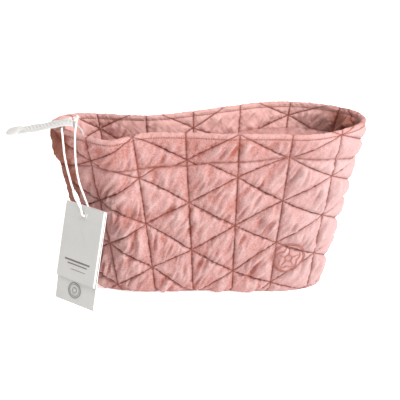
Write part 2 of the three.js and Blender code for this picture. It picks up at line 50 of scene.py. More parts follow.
# Bag body, as the CAD source has it
BASE_HALF_LENGTH = 100
BASE_HALF_DEPTH = 34
BASE_SQUARENESS = 4.5
BASE_EDGE_INSET = 4
FLARE_POWER = 1.15
BULGE = 3
HALVES = ("front", "back")
SIDE = {"front": -1, "back": 1}
RIM_FRONT = [
    (-135, 6, 147), (-131, -8, 146.5), (-122, -21, 146), (-105, -35, 145), (-82, -48, 144), (-56, -41, 148),
    (-20, -40, 148.6), (14, -45, 148.6), (52, -45, 148.6), (88, -46, 148.6), (113, -35, 149.8),
    (132, -19, 151.5),
]
RIM_BACK = [
    (137, -2, 152.6), (131, 13, 154), (112, 31, 154.5), (84, 49, 153.5), (52, 52, 152.5), (22, 42, 151.5),
    (-14, 27, 150.5), (-48, 19, 149), (-76, 24, 148), (-100, 33, 147), (-120, 32, 147), (-131, 20, 147),
]
RIM_SEGMENT_SAMPLES = 12
BASE_STEPS = 96
EDGE_INSET_HEIGHT = 0.035
RECESS_DEPTH = {"front": (27, 23.5), "back": (28, 21)}
SEAM_RECESS = 27
SEAM_BLEND = 0.05
WALL_RUN = 150

# Zip
ZIP_LEFT = np.array([-100.0, 0.0, 121.0])
ZIP_RIGHT = np.array([106.0, 0.0, 126.0])
ZIP_CENTRE = -9
ZIP_JOINED = [(-100, ZIP_CENTRE), (-72, ZIP_CENTRE), (-52, ZIP_CENTRE), (-47, ZIP_CENTRE)]
ZIP_PARTED = {
    "front": [
        (-44, -9.2), (-30, -10.6), (-12, -13.2), (14, -15.2), (46, -16), (74, -15.5), (92, -12.5), (106, -8)],
    "back": [
        (-44, -8.7), (-30, -5.4), (-12, 1.2), (14, 9.8), (46, 18), (74, 20.5), (92, 15.5), (106, 8)],
}
TAPE_WIDTH = 9.6
TAPE_INNER_EDGE = 2.7
PANEL_SPAN = {"front": (0.13, 0.91), "back": (0.14, 0.88)}

# Zip tail
TAIL_ROUTE = [
    (-102.5, -9, 123), (-106, -9.3, 133), (-109.5, -9.8, 143.5), (-115, -11.5, 149.6), (-122, -14, 151.2),
    (-130, -15.5, 150.4), (-140, -16, 148.3), (-152, -16, 146.2), (-163, -16, 144.6),
]
TAIL_TAPE_WIDTH = 8.6
TAIL_TEETH_WIDTH = 4.8

# Tag cord
CORD_DIAMETER = 1.8
CORD_RING_GAP = 0.4
CORD_TWIST = 0.4
CORD_ROUTE = [
    (-113, -50, 102), (-114.8, -48.3, 107), (-116.9, -45.3, 114), (-119, -42, 121.5), (-120.8, -38.2, 129.5),
    (-122, -33.5, 138), (-123, -29, 144.6), (-124, -24, 148.2), (-122.5, -14, 148.7), (-118.5, -4, 148.4),
    (-115.6, 2.5, 149), (-114.4, 4, 151.2), (-113.6, 0.5, 152.6), (-112.9, -9, 152.3), (-112.2, -19, 151.4),
    (-111.8, -27, 149.4), (-111.7, -32.6, 146.6), (-111.8, -35, 141), (-111.9, -36.5, 134.5),
    (-111.5, -38.6, 125), (-110.4, -41.6, 115), (-108.2, -44, 105), (-105, -45.8, 96), (-102.8, -46.6, 89.5),
    (-101.5, -47.2, 85), (-101.4, -48.6, 81.8), (-102.3, -50.2, 80.5), (-103.5, -52, 80.2),
    (-104.8, -54, 80.5), (-105.9, -55.3, 82.4), (-106.5, -55.3, 86.2), (-106.9, -54.9, 88.4),
]

# Hang tag
CARD_HOLE = np.array([-103.5, -52.0, 80.2])
CARD_TURN = math.radians(-34)
CARD_TILT = math.radians(-12)
CARD_ROLL = math.radians(3)
CARD_WIDTH = 43
CARD_FRONT_LENGTH = 66
CARD_BACK_LENGTH = 87
CARD_HOLE_DROP = 8
CARD_HOLE_RADIUS = 2.4


# ---- Curves and noise ---------------------------------------------------------------------------

def hermite(p1, p2, t1, t2, s):
    """The cubic between two points that leaves and arrives with those tangents."""
    return p1 + t1 * s + (3 * p2 - 3 * p1 - 2 * t1 - t2) * s**2 + (2 * p1 - 2 * p2 + t1 + t2) * s**3


def catmull_rom(points, closed=False, per_segment=RIM_SEGMENT_SAMPLES):
    """A centripetal Catmull-Rom curve through the points, as samples that are even in its parameter."""
    pts = np.array(points, float)
    count = len(pts)
    s = (np.arange(per_segment) / per_segment)[:, None]
    samples = []
    for i in range(count if closed else count - 1):
        p1, p2 = pts[i], pts[(i + 1) % count]
        p0 = pts[i - 1] if closed or i > 0 else 2 * p1 - p2
        p3 = pts[(i + 2) % count] if closed or i + 2 < count else 2 * p2 - p1
        d0, d1, d2 = (max(np.linalg.norm(b - a) ** 0.5, 1e-4) for a, b in ((p0, p1), (p1, p2), (p2, p3)))
        t1 = ((p1 - p0) / d0 - (p2 - p0) / (d0 + d1) + (p2 - p1) / d1) * d1
        t2 = ((p2 - p1) / d1 - (p3 - p1) / (d1 + d2) + (p3 - p2) / d2) * d1
        samples.append(hermite(p1, p2, t1, t2, s))
    return np.vstack([*samples, pts[:1] if closed else pts[-1:]])


def uniform_spline(points, per_segment=40):
    """A uniform Catmull-Rom curve with doubled end points."""
    pts = np.array([points[0], *points, points[-1]], float)
    s = (np.arange(per_segment) / per_segment)[:, None]
    samples = []
    for p0, p1, p2, p3 in zip(pts, pts[1:], pts[2:], pts[3:]):
        samples.append(hermite(p1, p2, (p2 - p0) / 2, (p3 - p1) / 2, s))
    return np.vstack([*samples, pts[-1:]])


def run_lengths(line):
    return np.concatenate([[0], np.cumsum(np.linalg.norm(np.diff(line, axis=0), axis=1))])


def along(line, fraction):
    """The line's points at fractions of its length."""
    lengths = run_lengths(line)
    wanted = np.asarray(fraction, float) * lengths[-1]
    return np.stack([np.interp(wanted, lengths, line[:, k]) for k in range(line.shape[1])], axis=-1)


def unit(vectors):
    return vectors / np.maximum(np.linalg.norm(vectors, axis=-1, keepdims=True), 1e-12)


def ring_angles(count):
    return np.arange(count) * 2 * math.pi / count


def ellipse(count, across, up):
    """A closed section as a ring of (across, up)."""
    angles = ring_angles(count)
    return np.stack([across * np.cos(angles), up * np.sin(angles)], axis=1)


def squared(values, power):
    """Cosines or sines pushed outwards, so that a circle becomes a rounded rectangle."""
    return np.sign(values) * np.abs(values) ** power


def gradient_noise(x, y, seed):
    """Smooth noise over a plane, from about -0.7 to 0.7."""
    angles = np.random.default_rng(seed).uniform(0, 2 * math.pi, (256, 256))
    xi, yi = np.floor(x).astype(int), np.floor(y).astype(int)
    xf, yf = x - xi, y - yi

    def corner(i, j):
        angle = angles[(xi + i) % 256, (yi + j) % 256]
        return np.cos(angle) * (xf - i) + np.sin(angle) * (yf - j)

    u, v = (f**3 * (f * (f * 6 - 15) + 10) for f in (xf, yf))
    low = corner(0, 0) * (1 - u) + corner(1, 0) * u
    high = corner(0, 1) * (1 - u) + corner(1, 1) * u
    return low * (1 - v) + high * v


def smooth_step(low, high, x):
    s = np.clip((x - low) / (high - low), 0, 1)
    return s * s * (3 - 2 * s)


# ---- Meshes -------------------------------------------------------------------------------------

CLOTH_THICKNESS = 0.4


def add_piece(name, points, faces, material, body="bag", slot=None, flat_angle=None):
    """A smooth mesh piece from points in millimetres, riding on a body."""
    mesh = bpy.data.meshes.new(name)
    mesh.from_pydata((np.asarray(points, float) * MM).tolist(), [], [list(map(int, f)) for f in faces])
    mesh.validate()
    mesh.polygons.foreach_set("use_smooth", [True] * len(mesh.polygons))
    piece = bpy.data.objects.new(name, mesh)
    bpy.context.scene.collection.objects.link(piece)
    mesh.materials.append(material)
    if flat_angle is not None:
        mesh.set_sharp_from_angle(angle=math.radians(flat_angle))
    if body:
        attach(piece, body)
    return piece


def grid_faces(rows, columns, wrap=False, flip=False):
    """Quads over a grid of points in row order. wrap joins the last column to the first."""
    i, j = np.meshgrid(np.arange(rows - 1), np.arange(columns if wrap else columns - 1), indexing="ij")
    i, j = i.ravel(), j.ravel()
    k = (j + 1) % columns
    quads = np.stack([i * columns + j, i * columns + k, (i + 1) * columns + k, (i + 1) * columns + j], axis=1)
    return quads[:, ::-1] if flip else quads


def add_attributes(piece, **values):
    """Numbers at the vertices for the material to read. A single number is the same at all of them."""
    for name, value in values.items():
        attribute = piece.data.attributes.new(name, "FLOAT", "POINT")
        numbers = np.full(len(piece.data.vertices), value) if np.ndim(value) == 0 else np.ravel(value)
        attribute.data.foreach_set("value", numbers.astype(np.float32))


def unrolled(grid):
    """How far each point of a grid is along its column."""
    return np.cumsum(np.linalg.norm(np.diff(grid, axis=0, prepend=grid[:1]), axis=2), axis=0)


def add_cloth_map(piece, across, down):
    """A flat map of the cloth in metres, for its weave."""
    across, down = np.broadcast_arrays(across, down)
    layer = piece.data.uv_layers.new(name="cloth")
    corners = np.zeros(len(piece.data.loops), int)
    piece.data.loops.foreach_get("vertex_index", corners)
    flat = np.stack([np.ravel(across)[corners], np.ravel(down)[corners]], axis=1) * MM
    layer.data.foreach_set("uv", flat.astype(np.float32).ravel())


def thicken(piece):
    """Gives a sheet of cloth its thickness, away from its outer side."""
    thick = piece.modifiers.new("thickness", "SOLIDIFY")
    thick.thickness = CLOTH_THICKNESS * MM
    thick.offset = -1


def sweep(line, section, normals=None, twist=0.0):
    """Points of a tube: section is a closed ring of (across, up) and line the centres. Rows are rings."""
    tangents = unit(np.gradient(line, axis=0))
    if normals is None:
        normals = [unit(np.cross(tangents[0], [0.3, 1, 0.2]))]
        for tangent in tangents[1:]:
            normals.append(unit(normals[-1] - tangent * (normals[-1] @ tangent)))
        normals = np.array(normals)
    across = unit(np.cross(tangents, normals))
    rings = []
    for k, centre in enumerate(line):
        angle = twist * k
        turn = np.array([[math.cos(angle), -math.sin(angle)], [math.sin(angle), math.cos(angle)]])
        ring = np.asarray(section) @ turn.T
        rings.append(centre + ring[:, :1] * across[k] + ring[:, 1:] * normals[k])
    return np.array(rings)


def close_tube(rings):
    """Faces of a tube with both ends filled."""
    rows, columns = rings.shape[:2]
    faces = [list(f) for f in grid_faces(rows, columns, wrap=True)]
    faces.append(list(range(columns))[::-1])
    faces.append(list(range((rows - 1) * columns, rows * columns)))
    return faces


class Tubes:
    """Gathers closed tubes into one piece."""

    def __init__(self, *tubes):
        self.points, self.faces = [], []
        for rings in tubes:
            self.add(rings)

    def add(self, rings):
        first = len(self.points)
        self.points.extend(rings.reshape(-1, 3))
        self.faces.extend([[v + first for v in face] for face in close_tube(rings)])

    def finish(self, name, material, **settings):
        return add_piece(name, self.points, self.faces, material, **settings)


def moulded_rings(axes, profile, angles, powers):
    """Rounded sections of a moulded part from its centre and its three axes.

    The profile is (reach, half width, half height).
    """
    centre, run, side, up = axes
    across = squared(np.cos(angles), powers[0])[:, None] * side
    over = squared(np.sin(angles), powers[1])[:, None] * up
    return np.array([
        centre + run * reach + width * across + height * over for reach, width, height in profile])


# ---- Materials ----------------------------------------------------------------------------------

WEAVE_PITCH = 0.00062
TAPE_PITCH = 0.0009
FOLD_LEAN = math.radians(-57)
FOLD_STRETCH = (75, 165, 1)
SLUB_STRETCH = (420, 2600, 1)
COLUMN_GAP = 36
DIAGONAL_GAP = 48


class Surface:
    """A material in the making. Its methods add shader nodes and hand back their outputs."""

    def __init__(self, name):
        self.material = bpy.data.materials.new(name)
        self.material.use_nodes = True
        self.tree = self.material.node_tree
        self.place = self.node("ShaderNodeTexCoord").outputs["Object"]

    def node(self, kind, **settings):
        node = self.tree.nodes.new(kind)
        for key, value in settings.items():
            setattr(node, key, value)
        return node

    def feed(self, socket, value):
        """Sets a socket to a number or a colour, or links a node's output to it."""
        if isinstance(value, (int, float)):
            socket.default_value = value
        elif isinstance(value, tuple):
            socket.default_value = (*value, 1)
        else:
            self.tree.links.new(value, socket)

    def attribute(self, name):
        return self.node("ShaderNodeAttribute", attribute_name=name).outputs["Fac"]

    def noise(self, at, scale, detail=2.0, roughness=0.5):
        node = self.node("ShaderNodeTexNoise")
        for key, value in (("Vector", at), ("Scale", scale), ("Detail", detail), ("Roughness", roughness)):
            self.feed(node.inputs[key], value)
        return node.outputs["Fac"]

    def stretched(self, at, scale):
        node = self.node("ShaderNodeMapping")
        node.inputs["Scale"].default_value = scale
        self.feed(node.inputs["Vector"], at)
        return node.outputs[0]

    def maths(self, operation, *values):
        node = self.node("ShaderNodeMath", operation=operation)
        for socket, value in zip(node.inputs, values):
            self.feed(socket, value)
        return node.outputs[0]

    def scaled(self, value, factor):
        return self.maths("MULTIPLY", value, factor)

    def blend(self, *parts):
        """The sum of values, each with its weight."""
        total = None
        for value, weight in parts:
            part = value if weight == 1 else self.scaled(value, weight)
            total = part if total is None else self.maths("ADD", total, part)
        return total

    def ramp(self, factor, *stops):
        """Colours along a factor. A stop is (place, colour), where a number is a grey."""
        node = self.node("ShaderNodeValToRGB")
        elements = node.color_ramp.elements
        while len(elements) < len(stops):
            elements.new(0.5)
        for element, (place, colour) in zip(elements, stops):
            element.position = place
            element.color = (*colour, 1) if isinstance(colour, tuple) else (colour, colour, colour, 1)
        self.feed(node.inputs["Fac"], factor)
        return node.outputs["Color"]

    def tint(self, first, second, factor, weight):
        """The first colour turned towards the second by a factor times a weight."""
        node = self.node("ShaderNodeMix", data_type="RGBA")
        values = (self.scaled(factor, weight), first, second)
        for socket, value in zip((node.inputs["Factor"], node.inputs[6], node.inputs[7]), values):
            self.feed(socket, value)
        return node.outputs[2]

    def bump(self, height, distance, strength, normal=None):
        node = self.node("ShaderNodeBump")
        for key, value in (("Height", height), ("Distance", distance), ("Strength", strength)):
            self.feed(node.inputs[key], value)
        if normal is not None:
            self.feed(node.inputs["Normal"], normal)
        return node.outputs["Normal"]

    def weave(self, at, pitch):
        """A plain weave: threads of that pitch in metres crossing over and under each other."""
        separate = self.node("ShaderNodeSeparateXYZ")
        self.feed(separate.inputs[0], at)
        waves = [self.maths("SINE", self.scaled(separate.outputs[k], math.pi / pitch)) for k in (0, 1)]
        over = self.maths("MULTIPLY", *waves)
        ridge = self.maths("MULTIPLY", *(self.maths("ABSOLUTE", wave) for wave in waves))
        return self.blend((ridge, 1), (over, 0.35))

    def finish(self, sockets):
        """Feeds the shader and hands back the finished material."""
        shader = self.tree.nodes["Principled BSDF"]
        for name, value in sockets.items():
            self.feed(shader.inputs[name], value)
        return self.material


def quilting_distance(surface):
    """Millimetres to the nearest quilting line, from each vertex's place in the pattern."""
    column, row = surface.attribute("column"), surface.attribute("row")
    half_column = surface.scaled(column, 0.5)
    rising, falling = surface.maths("ADD", row, half_column), surface.maths("SUBTRACT", row, half_column)
    distances = []
    for place, gap in ((column, COLUMN_GAP), (rising, DIAGONAL_GAP), (falling, DIAGONAL_GAP)):
        off = surface.maths("SUBTRACT", place, surface.maths("ROUND", place))
        distances.append(surface.scaled(surface.maths("ABSOLUTE", off), gap))
    return surface.maths("MINIMUM", distances[0], surface.maths("MINIMUM", *distances[1:]))


def fold_height(surface, cloth):
    """Small creases that run up to the right over the cloth."""
    turned = surface.node("ShaderNodeVectorRotate", rotation_type="Z_AXIS")
    turned.inputs["Angle"].default_value = FOLD_LEAN
    surface.feed(turned.inputs["Vector"], cloth)
    return surface.noise(surface.stretched(turned.outputs[0], FOLD_STRETCH), 1)


def cotton_body(surface, light, mid, dark, slub, folds):
    """The cloth's colour between its creases: random tone and slubs, high spots paler from wear and painted
    highlight, painted shade in fold valleys and painted highlight on fold ridges, painted light on the right
    side and inside, and painted shade at the ends.
    """
    blotches = surface.noise(surface.place, 55, 3, 0.55)
    speckle = surface.noise(surface.place, 900, 2, 0.6)
    # The folds' tone attribute makes high spots paler, partly wear and partly painted highlight, and low
    # spots darker as painted shade.
    tone = surface.blend((blotches, 0.35), (speckle, 0.62), (surface.attribute("wear"), 0.26))
    body = surface.ramp(tone, (0.39, dark), (0.615, mid), (0.85, light))
    body = surface.tint(body, dark, slub, 0.22)
    # Painted shade in the fold valleys and a painted highlight on the fold ridges.
    body = surface.tint(body, dark, surface.ramp(folds, (0.3, 1), (0.46, 0)), 0.34)
    body = surface.tint(body, light, surface.ramp(folds, (0.54, 0), (0.72, 1)), 0.2)
    # Painted light on the right side of the walls.
    body = surface.tint(body, ROSE_RIGHT_PAINTED_LIGHT, surface.attribute("painted_right_light"), 0.6)
    # Painted light on the inside of the bag and over the rolled edge.
    body = surface.tint(body, ROSE_INNER_PAINTED_LIGHT, surface.attribute("inner"), 0.75)
    return surface.tint(body, END_SHADE, surface.attribute("end_shade"), 0.8)


def cotton_material(name, light, mid, dark):
    """Washed cotton: darker along its stitched creases, partly dye and partly painted shade, paler on the
    high spots from wear and painted highlight, with slubs in its weave.
    """
    surface = Surface(name)
    cloth = surface.node("ShaderNodeUVMap", uv_map="cloth").outputs["UV"]
    slub = surface.noise(surface.stretched(cloth, SLUB_STRETCH), 1, 2, 0.6)
    folds = fold_height(surface, cloth)
    body = cotton_body(surface, light, mid, dark, slub, folds)
    stitched = quilting_distance(surface)
    # Darkening near seams and quilting lines: partly dye, partly painted shade.
    nearest = surface.maths("MINIMUM", surface.attribute("crease"), surface.scaled(stitched, 0.2))
    fade = surface.ramp(nearest, (0.0, 1), (0.07, 0.6), (0.2, 0.14), (0.5, 0))
    height = surface.blend((surface.weave(cloth, WEAVE_PITCH), 1), (slub, 0.8))
    normal = surface.bump(height, 0.00016, 0.6)
    normal = surface.bump(surface.noise(surface.place, 480, 3, 0.6), 0.0007, 0.35, normal)
    normal = surface.bump(folds, 0.0024, 0.9, normal)
    groove = surface.ramp(surface.scaled(stitched, 0.5), (0.0, 0), (0.35, 0.8), (1.0, 1))
    return surface.finish({
        "Base Color": surface.tint(body, ROSE_CREASE_DYE_AND_SHADE, fade, 0.8),
        "Normal": surface.bump(groove, 0.0009, 0.8, normal),
        "Roughness": 0.92,
        "Specular IOR Level": 0.07,
        "Sheen Weight": 0.02,
        "Sheen Roughness": 0.6,
        "Sheen Tint": (1.0, 0.84, 0.82),
    })


def thread_material(name, light, dark):
    surface = Surface(name)
    tone = surface.noise(surface.place, 1500, 2, 0.6)
    return surface.finish({
        "Base Color": surface.ramp(tone, (0.3, dark), (0.7, light)),
        "Normal": surface.bump(surface.noise(surface.place, 4000, 1), 0.0001, 0.5),
        "Roughness": 0.7,
        "Specular IOR Level": 0.15,
    })


def tape_material(name, light, dark):
    """Woven polyester tape with fine ribs."""
    surface = Surface(name)
    weave = surface.weave(surface.place, TAPE_PITCH)
    tone = surface.blend((weave, 0.3), (surface.noise(surface.place, 70, 3), 0.7))
    return surface.finish({
        "Base Color": surface.ramp(tone, (0.2, dark), (0.6, light)),
        "Normal": surface.bump(weave, 0.00014, 0.7),
        "Roughness": 0.85,
        "Sheen Weight": 0.1,
    })


def plastic_material(name, light, dark, roughness=0.38):
    surface = Surface(name)
    scuffs = surface.noise(surface.place, 700)
    return surface.finish({
        "Base Color": surface.ramp(surface.noise(surface.place, 160, 3), (0.3, dark), (0.7, light)),
        "Normal": surface.bump(scuffs, 0.00004, 0.4),
        "Roughness": surface.maths("ADD", surface.scaled(scuffs, 0.14), roughness - 0.07),
    })


def metal_material(name, light, dark):
    surface = Surface(name)
    tone = surface.noise(surface.place, 300, 4, 0.6)
    return surface.finish({
        "Base Color": surface.ramp(tone, (0.3, dark), (0.7, light)),
        "Normal": surface.bump(surface.noise(surface.place, 1200), 0.00002, 0.5),
        "Roughness": surface.maths("ADD", surface.scaled(tone, 0.22), 0.16),
        "Metallic": 1,
    })


def paper_material(name, light, dark):
    """Uncoated card stock with a fine tooth and faint fibres."""
    surface = Surface(name)
    tooth = surface.noise(surface.place, 1400, 3, 0.65)
    tone = surface.blend((tooth, 0.5), (surface.noise(surface.place, 60, 3), 0.5))
    return surface.finish({
        "Base Color": surface.ramp(tone, (0.3, dark), (0.7, light)),
        "Normal": surface.bump(tooth, 0.00008, 0.5),
        "Roughness": 0.86,
        "Specular IOR Level": 0.3,
    })


def wadding_material(name, light, dark):
    surface = Surface(name)
    fibres = surface.noise(surface.place, 500, 5, 0.75)
    return surface.finish({
        "Base Color": surface.ramp(fibres, (0.3, dark), (0.7, light)),
        "Normal": surface.bump(fibres, 0.0006, 0.8),
        "Roughness": 1,
    })


def floor_material(name, light, dark):
    surface = Surface(name)
    return surface.finish({
        "Base Color": surface.ramp(surface.noise(surface.place, 3), (0.3, dark), (0.7, light)),
        "Roughness": 0.9,
        "Emission Color": (1, 1, 1),
        "Emission Strength": FLOOR_GLOW,
    })


FLOOR_GLOW = 0.54
ROSE_LIGHT = (0.57, 0.395, 0.38)
ROSE_MID = (0.475, 0.262, 0.25)
ROSE_DARK = (0.35, 0.115, 0.082)
# Colour of the creases: partly dye, partly painted shade.
ROSE_CREASE_DYE_AND_SHADE = (0.19, 0.026, 0.010)
END_SHADE = (0.20, 0.062, 0.034)
# Paler colour painted inside the bag: painted light.
ROSE_INNER_PAINTED_LIGHT = (0.70, 0.42, 0.39)
# Paler colour painted on the right side of the walls: painted light.
ROSE_RIGHT_PAINTED_LIGHT = (0.53, 0.39, 0.39)
LINING_LIGHT = (0.70, 0.40, 0.36)
LINING_MID = (0.60, 0.31, 0.27)
LINING_DARK = (0.46, 0.21, 0.18)
cotton = cotton_material("quilted_cotton", ROSE_LIGHT, ROSE_MID, ROSE_DARK)
lining_cotton = cotton_material("lining_cotton", LINING_LIGHT, LINING_MID, LINING_DARK)
# The quilting and edge threads are darker than the cloth: partly their dye, partly painted shade of the
# grooves and stitch holes they lie in.
quilt_thread = thread_material("quilting_thread", (0.40, 0.12, 0.08), (0.27, 0.065, 0.04))
edge_thread = thread_material("edge_thread", (0.34, 0.11, 0.08), (0.24, 0.07, 0.05))
mark_thread = thread_material("mark_thread", (0.44, 0.20, 0.17), (0.34, 0.13, 0.10))
zip_tape = tape_material("zip_tape_weave", (0.60, 0.60, 0.59), (0.54, 0.54, 0.53))
zip_teeth = plastic_material("zip_teeth_resin", (0.64, 0.64, 0.63), (0.58, 0.58, 0.57))
zip_metal = metal_material("zip_metal", (0.8, 0.78, 0.76), (0.62, 0.6, 0.58))
tag_string = thread_material("tag_string", (0.93, 0.92, 0.90), (0.80, 0.78, 0.75))
seal_plastic = plastic_material("seal_plastic", (0.92, 0.91, 0.89), (0.86, 0.85, 0.83), 0.32)
# The card's face is given a grey as painted shade, for a face turned from the light; the white core stock
# also serves as painted light on the folded spine.
tag_paper = paper_material("tag_paper", (0.535, 0.54, 0.525), (0.475, 0.48, 0.465))
tag_core = paper_material("tag_core", (0.93, 0.92, 0.90), (0.88, 0.87, 0.85))
tag_score = paper_material("tag_score", (0.56, 0.545, 0.51), (0.50, 0.485, 0.455))
tag_ink = paper_material("tag_ink", (0.20, 0.185, 0.17), (0.13, 0.12, 0.11))
wadding = wadding_material("wadding_fibre", (0.86, 0.84, 0.8), (0.7, 0.67, 0.62))
floor_white = floor_material("floor_white", (0.95, 0.95, 0.95), (0.93, 0.93, 0.93))


# ---- Tag cord and seal --------------------------------------------------------------------------

SEAL_SOCKET = (
    (-0.02, 0.7), (0.0, 1.2), (0.05, 1.5), (0.12, 1.45), (0.2, 1.75), (0.3, 1.95), (0.45, 2.0), (0.55, 1.9),
    (0.6, 1.7), (0.62, 1.2),
)
SEAL_PLUG = (
    (0.6, 1.0), (0.63, 1.35), (0.68, 1.5), (0.78, 1.35), (0.9, 1.3), (0.97, 1.25), (1.01, 1.0), (1.03, 0.6),
)


def twisted_section(radius, strands=3, sides=18):
    """A ring with as many lobes as the cord has strands."""
    angles = ring_angles(sides)
    lobes = radius * (0.84 + 0.16 * np.abs(np.cos(strands * angles / 2)))
    return np.stack([lobes * np.cos(angles), lobes * np.sin(angles)], axis=1)


def seal_rings(start, end, profile):
    """A turned part between two points: profile is (fraction along, radius)."""
    circle = ellipse(20, 1, 1)
    axis = unit(end - start)
    side = unit(np.cross(axis, [0.3, 1, 0.2]))
    up = np.cross(axis, side)
    disc = circle[:, :1] * side + circle[:, 1:] * up
    return np.array([start + (end - start) * share + radius * disc for share, radius in profile])


def add_seal():
    """The moulded seal that joins the cord's two ends: a waisted socket and the plug pressed into it."""
    start, end = np.array(CORD_ROUTE[0], float), np.array(CORD_ROUTE[-1], float)
    pieces = []
    for name, profile, node in (
            ("seal_socket", SEAL_SOCKET, "seal_barrel"), ("seal_pin", SEAL_PLUG, "seal_plug")):
        rings = seal_rings(start, end, profile)
        piece = Tubes(rings).finish(name, seal_plastic, slot="seal_plastic", flat_angle=50)
        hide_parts(node)
        pieces.append(piece)
    return pieces


def add_cord(seal_pieces):
    line = catmull_rom(CORD_ROUTE, per_segment=30)
    length = run_lengths(line)[-1]
    centres = along(line, np.linspace(0, 1, int(length / CORD_RING_GAP)))
    rings = sweep(centres, twisted_section(CORD_DIAMETER / 2), twist=CORD_TWIST)
    cord = Tubes(rings).finish("tag_string", tag_string, slot="tag_cord")
    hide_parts("tag_cord")


add_cord(add_seal())


# ---- The bag's surface --------------------------------------------------------------------------

def rim_lines():
    loop = catmull_rom(RIM_FRONT + RIM_BACK, closed=True)
    seam = len(RIM_FRONT) * RIM_SEGMENT_SAMPLES
    return {"front": loop[: seam + 1], "back": loop[seam:][::-1]}


def base_line(half):
    angles = math.pi - SIDE[half] * math.pi * np.arange(BASE_STEPS + 1) / BASE_STEPS
    power = 2 / BASE_SQUARENESS
    x = BASE_HALF_LENGTH * squared(np.cos(angles), power)
    y = BASE_HALF_DEPTH * squared(np.sin(angles), power)
    return np.stack([x, y, np.zeros_like(x)], axis=1)


RIMS = rim_lines()
BASES = {half: base_line(half) for half in HALVES}
RIM_LENGTH = {half: run_lengths(RIMS[half])[-1] for half in HALVES}
BASE_LENGTH = {half: run_lengths(BASES[half])[-1] for half in HALVES}


def face_point(half, t, height):
    """A point of the outer face: t runs from the left seam to the right one, height from 0 to 1."""
    t, height = np.broadcast_arrays(np.asarray(t, float), np.asarray(height, float))
    rim, base = along(RIMS[half], t), along(BASES[half], t)
    inset = BASE_EDGE_INSET * np.maximum(0, 1 - height / EDGE_INSET_HEIGHT)
    size = np.linalg.norm(base, axis=-1)
    radial = base * ((size - inset) / size)[..., None]
    rise = np.maximum(height, 0)[..., None] ** FLARE_POWER
    point = radial * (1 - rise) + rim * rise
    point[..., 1] += SIDE[half] * BULGE * np.sin(math.pi * height) * np.sin(math.pi * t)
    point[..., 2] = rim[..., 2] * height
    return point


def face_normal(half, t, height):
    """The outward direction in plan, taken across the side seams."""
    step = 0.012
    other = "back" if half == "front" else "front"
    t, height = np.broadcast_arrays(np.asarray(t, float), np.asarray(height, float))
    before = np.where(
        (t < step)[..., None], face_point(other, np.clip(step - t, 0, 1), height),
        face_point(half, np.clip(t - step, 0, 1), height))
    after = np.where(
        (t > 1 - step)[..., None], face_point(other, np.clip(2 - t - step, 0, 1), height),
        face_point(half, np.clip(t + step, 0, 1), height))
    run = after - before
    normal = unit(np.stack([run[..., 1], -run[..., 0], np.zeros_like(t)], axis=-1))
    return normal if half == "front" else -normal


def recess_depth(half, t):
    """How far below the rim the zip panel meets the facing: even at the seams, sloping between them."""
    left, right = RECESS_DEPTH[half]
    depth = left + (right - left) * np.asarray(t, float)
    near_seam = np.maximum(smooth_step(SEAM_BLEND, 0, t), smooth_step(1 - SEAM_BLEND, 1, t))
    return depth + (SEAM_RECESS - depth) * near_seam


def inset_point(half, t, drop, inset):
    """A point that far below the rim and that far inside the outer face."""
    rim_z = along(RIMS[half], t)[..., 2]
    height = (rim_z - drop) / rim_z
    return face_point(half, t, height) - face_normal(half, t, height) * np.asarray(inset)[..., None]


# ---- Quilting -----------------------------------------------------------------------------------

COLUMNS = 7
COLUMN_START = 1 / 6
COLUMN_NUMBERS = (-COLUMN_START, *range(COLUMNS), COLUMNS - COLUMN_START)
WRINKLE_LEAN = math.radians(56)
CELLS = 36
ROW_STEP = 1.191
FIRST_ROW = 2.3
LINE_PLACES = {
    "front": (0.03, 0.174, 0.309, 0.4465, 0.588, 0.7245, 0.865),
    "back": (0.024, 0.167, 0.31, 0.439, 0.583, 0.738, 0.898),
}
PATTERN_STATIONS = (0.0, 0.174, 0.309, 0.4465, 0.588, 0.7245, 0.865, 1.0)
COLLAR_START = (1.0, 1.0, 1.3, 0.5, -0.5, 1.8, 4.1, 5.0)
COLLAR_PITCH = (42.0, 42.0, 43.0, 46.0, 44.0, 37.0, 36.0, 36.0)
WALL_START = (38.0, 37.9, 38.1, 39.4, 37.6, 39.2, 40.6, 41.0)
WALL_PITCH = (42.0, 42.0, 42.9, 45.2, 45.1, 40.1, 36.3, 36.0)
BACK_OFFSET = -8.3
GROOVE = 0.7
DEEPEST = -1.1
FACING_DEEPEST = -0.7
BEND = 6
BEND_SPAN = 24
BROAD_FOLD = 6.0
BROAD_SPAN = (6.5, 26)
FINE_FOLD = 8.5
FINE_SPAN = (5.4, 21)
FINE_LEVEL = 0.3
STRENGTH_SPAN = 22
STRENGTH_LIMITS = (0.2, 1.6)
PUCKER = 2.4
PUCKER_SPAN = 2.6
PUCKER_REACH = 3.5
PINCH_NEAR = 1.5
PINCH_FAR = 7.0
SIDE_POCKET = 3.5
COLLAR_POCKET = 1.3
TOPSTITCH_POCKET = 3.0
CREASE_REACH = 5.0
SEAM_WAVE = 0.4
SEAM_WAVE_RATE = 23
END_SAG = 6.0
TOPSTITCH_DROP = 4.0
SEAM_STATIONS = (0.0, 0.103, 0.175, 0.316, 0.449, 0.524, 0.651, 0.718, 0.856, 0.924, 1.0)
SEAM_DROPS = {
    "front": (33, 31, 27, 29.6, 29, 24.7, 22.4, 19.6, 24.4, 28.6, 29),
    "back": (33, 31, 29, 28, 28, 28, 27, 26.5, 26, 28, 29),
}


def cloth_width(half, below):
    """How long the half's cloth is from seam to seam, that far below the rim."""
    return np.interp(below, [0, WALL_RUN], [RIM_LENGTH[half], BASE_LENGTH[half]])


def pattern_column(half, t):
    """Where a place is among the vertical lines: whole on a line."""
    return np.interp(t, (0, *LINE_PLACES[half], 1), COLUMN_NUMBERS)


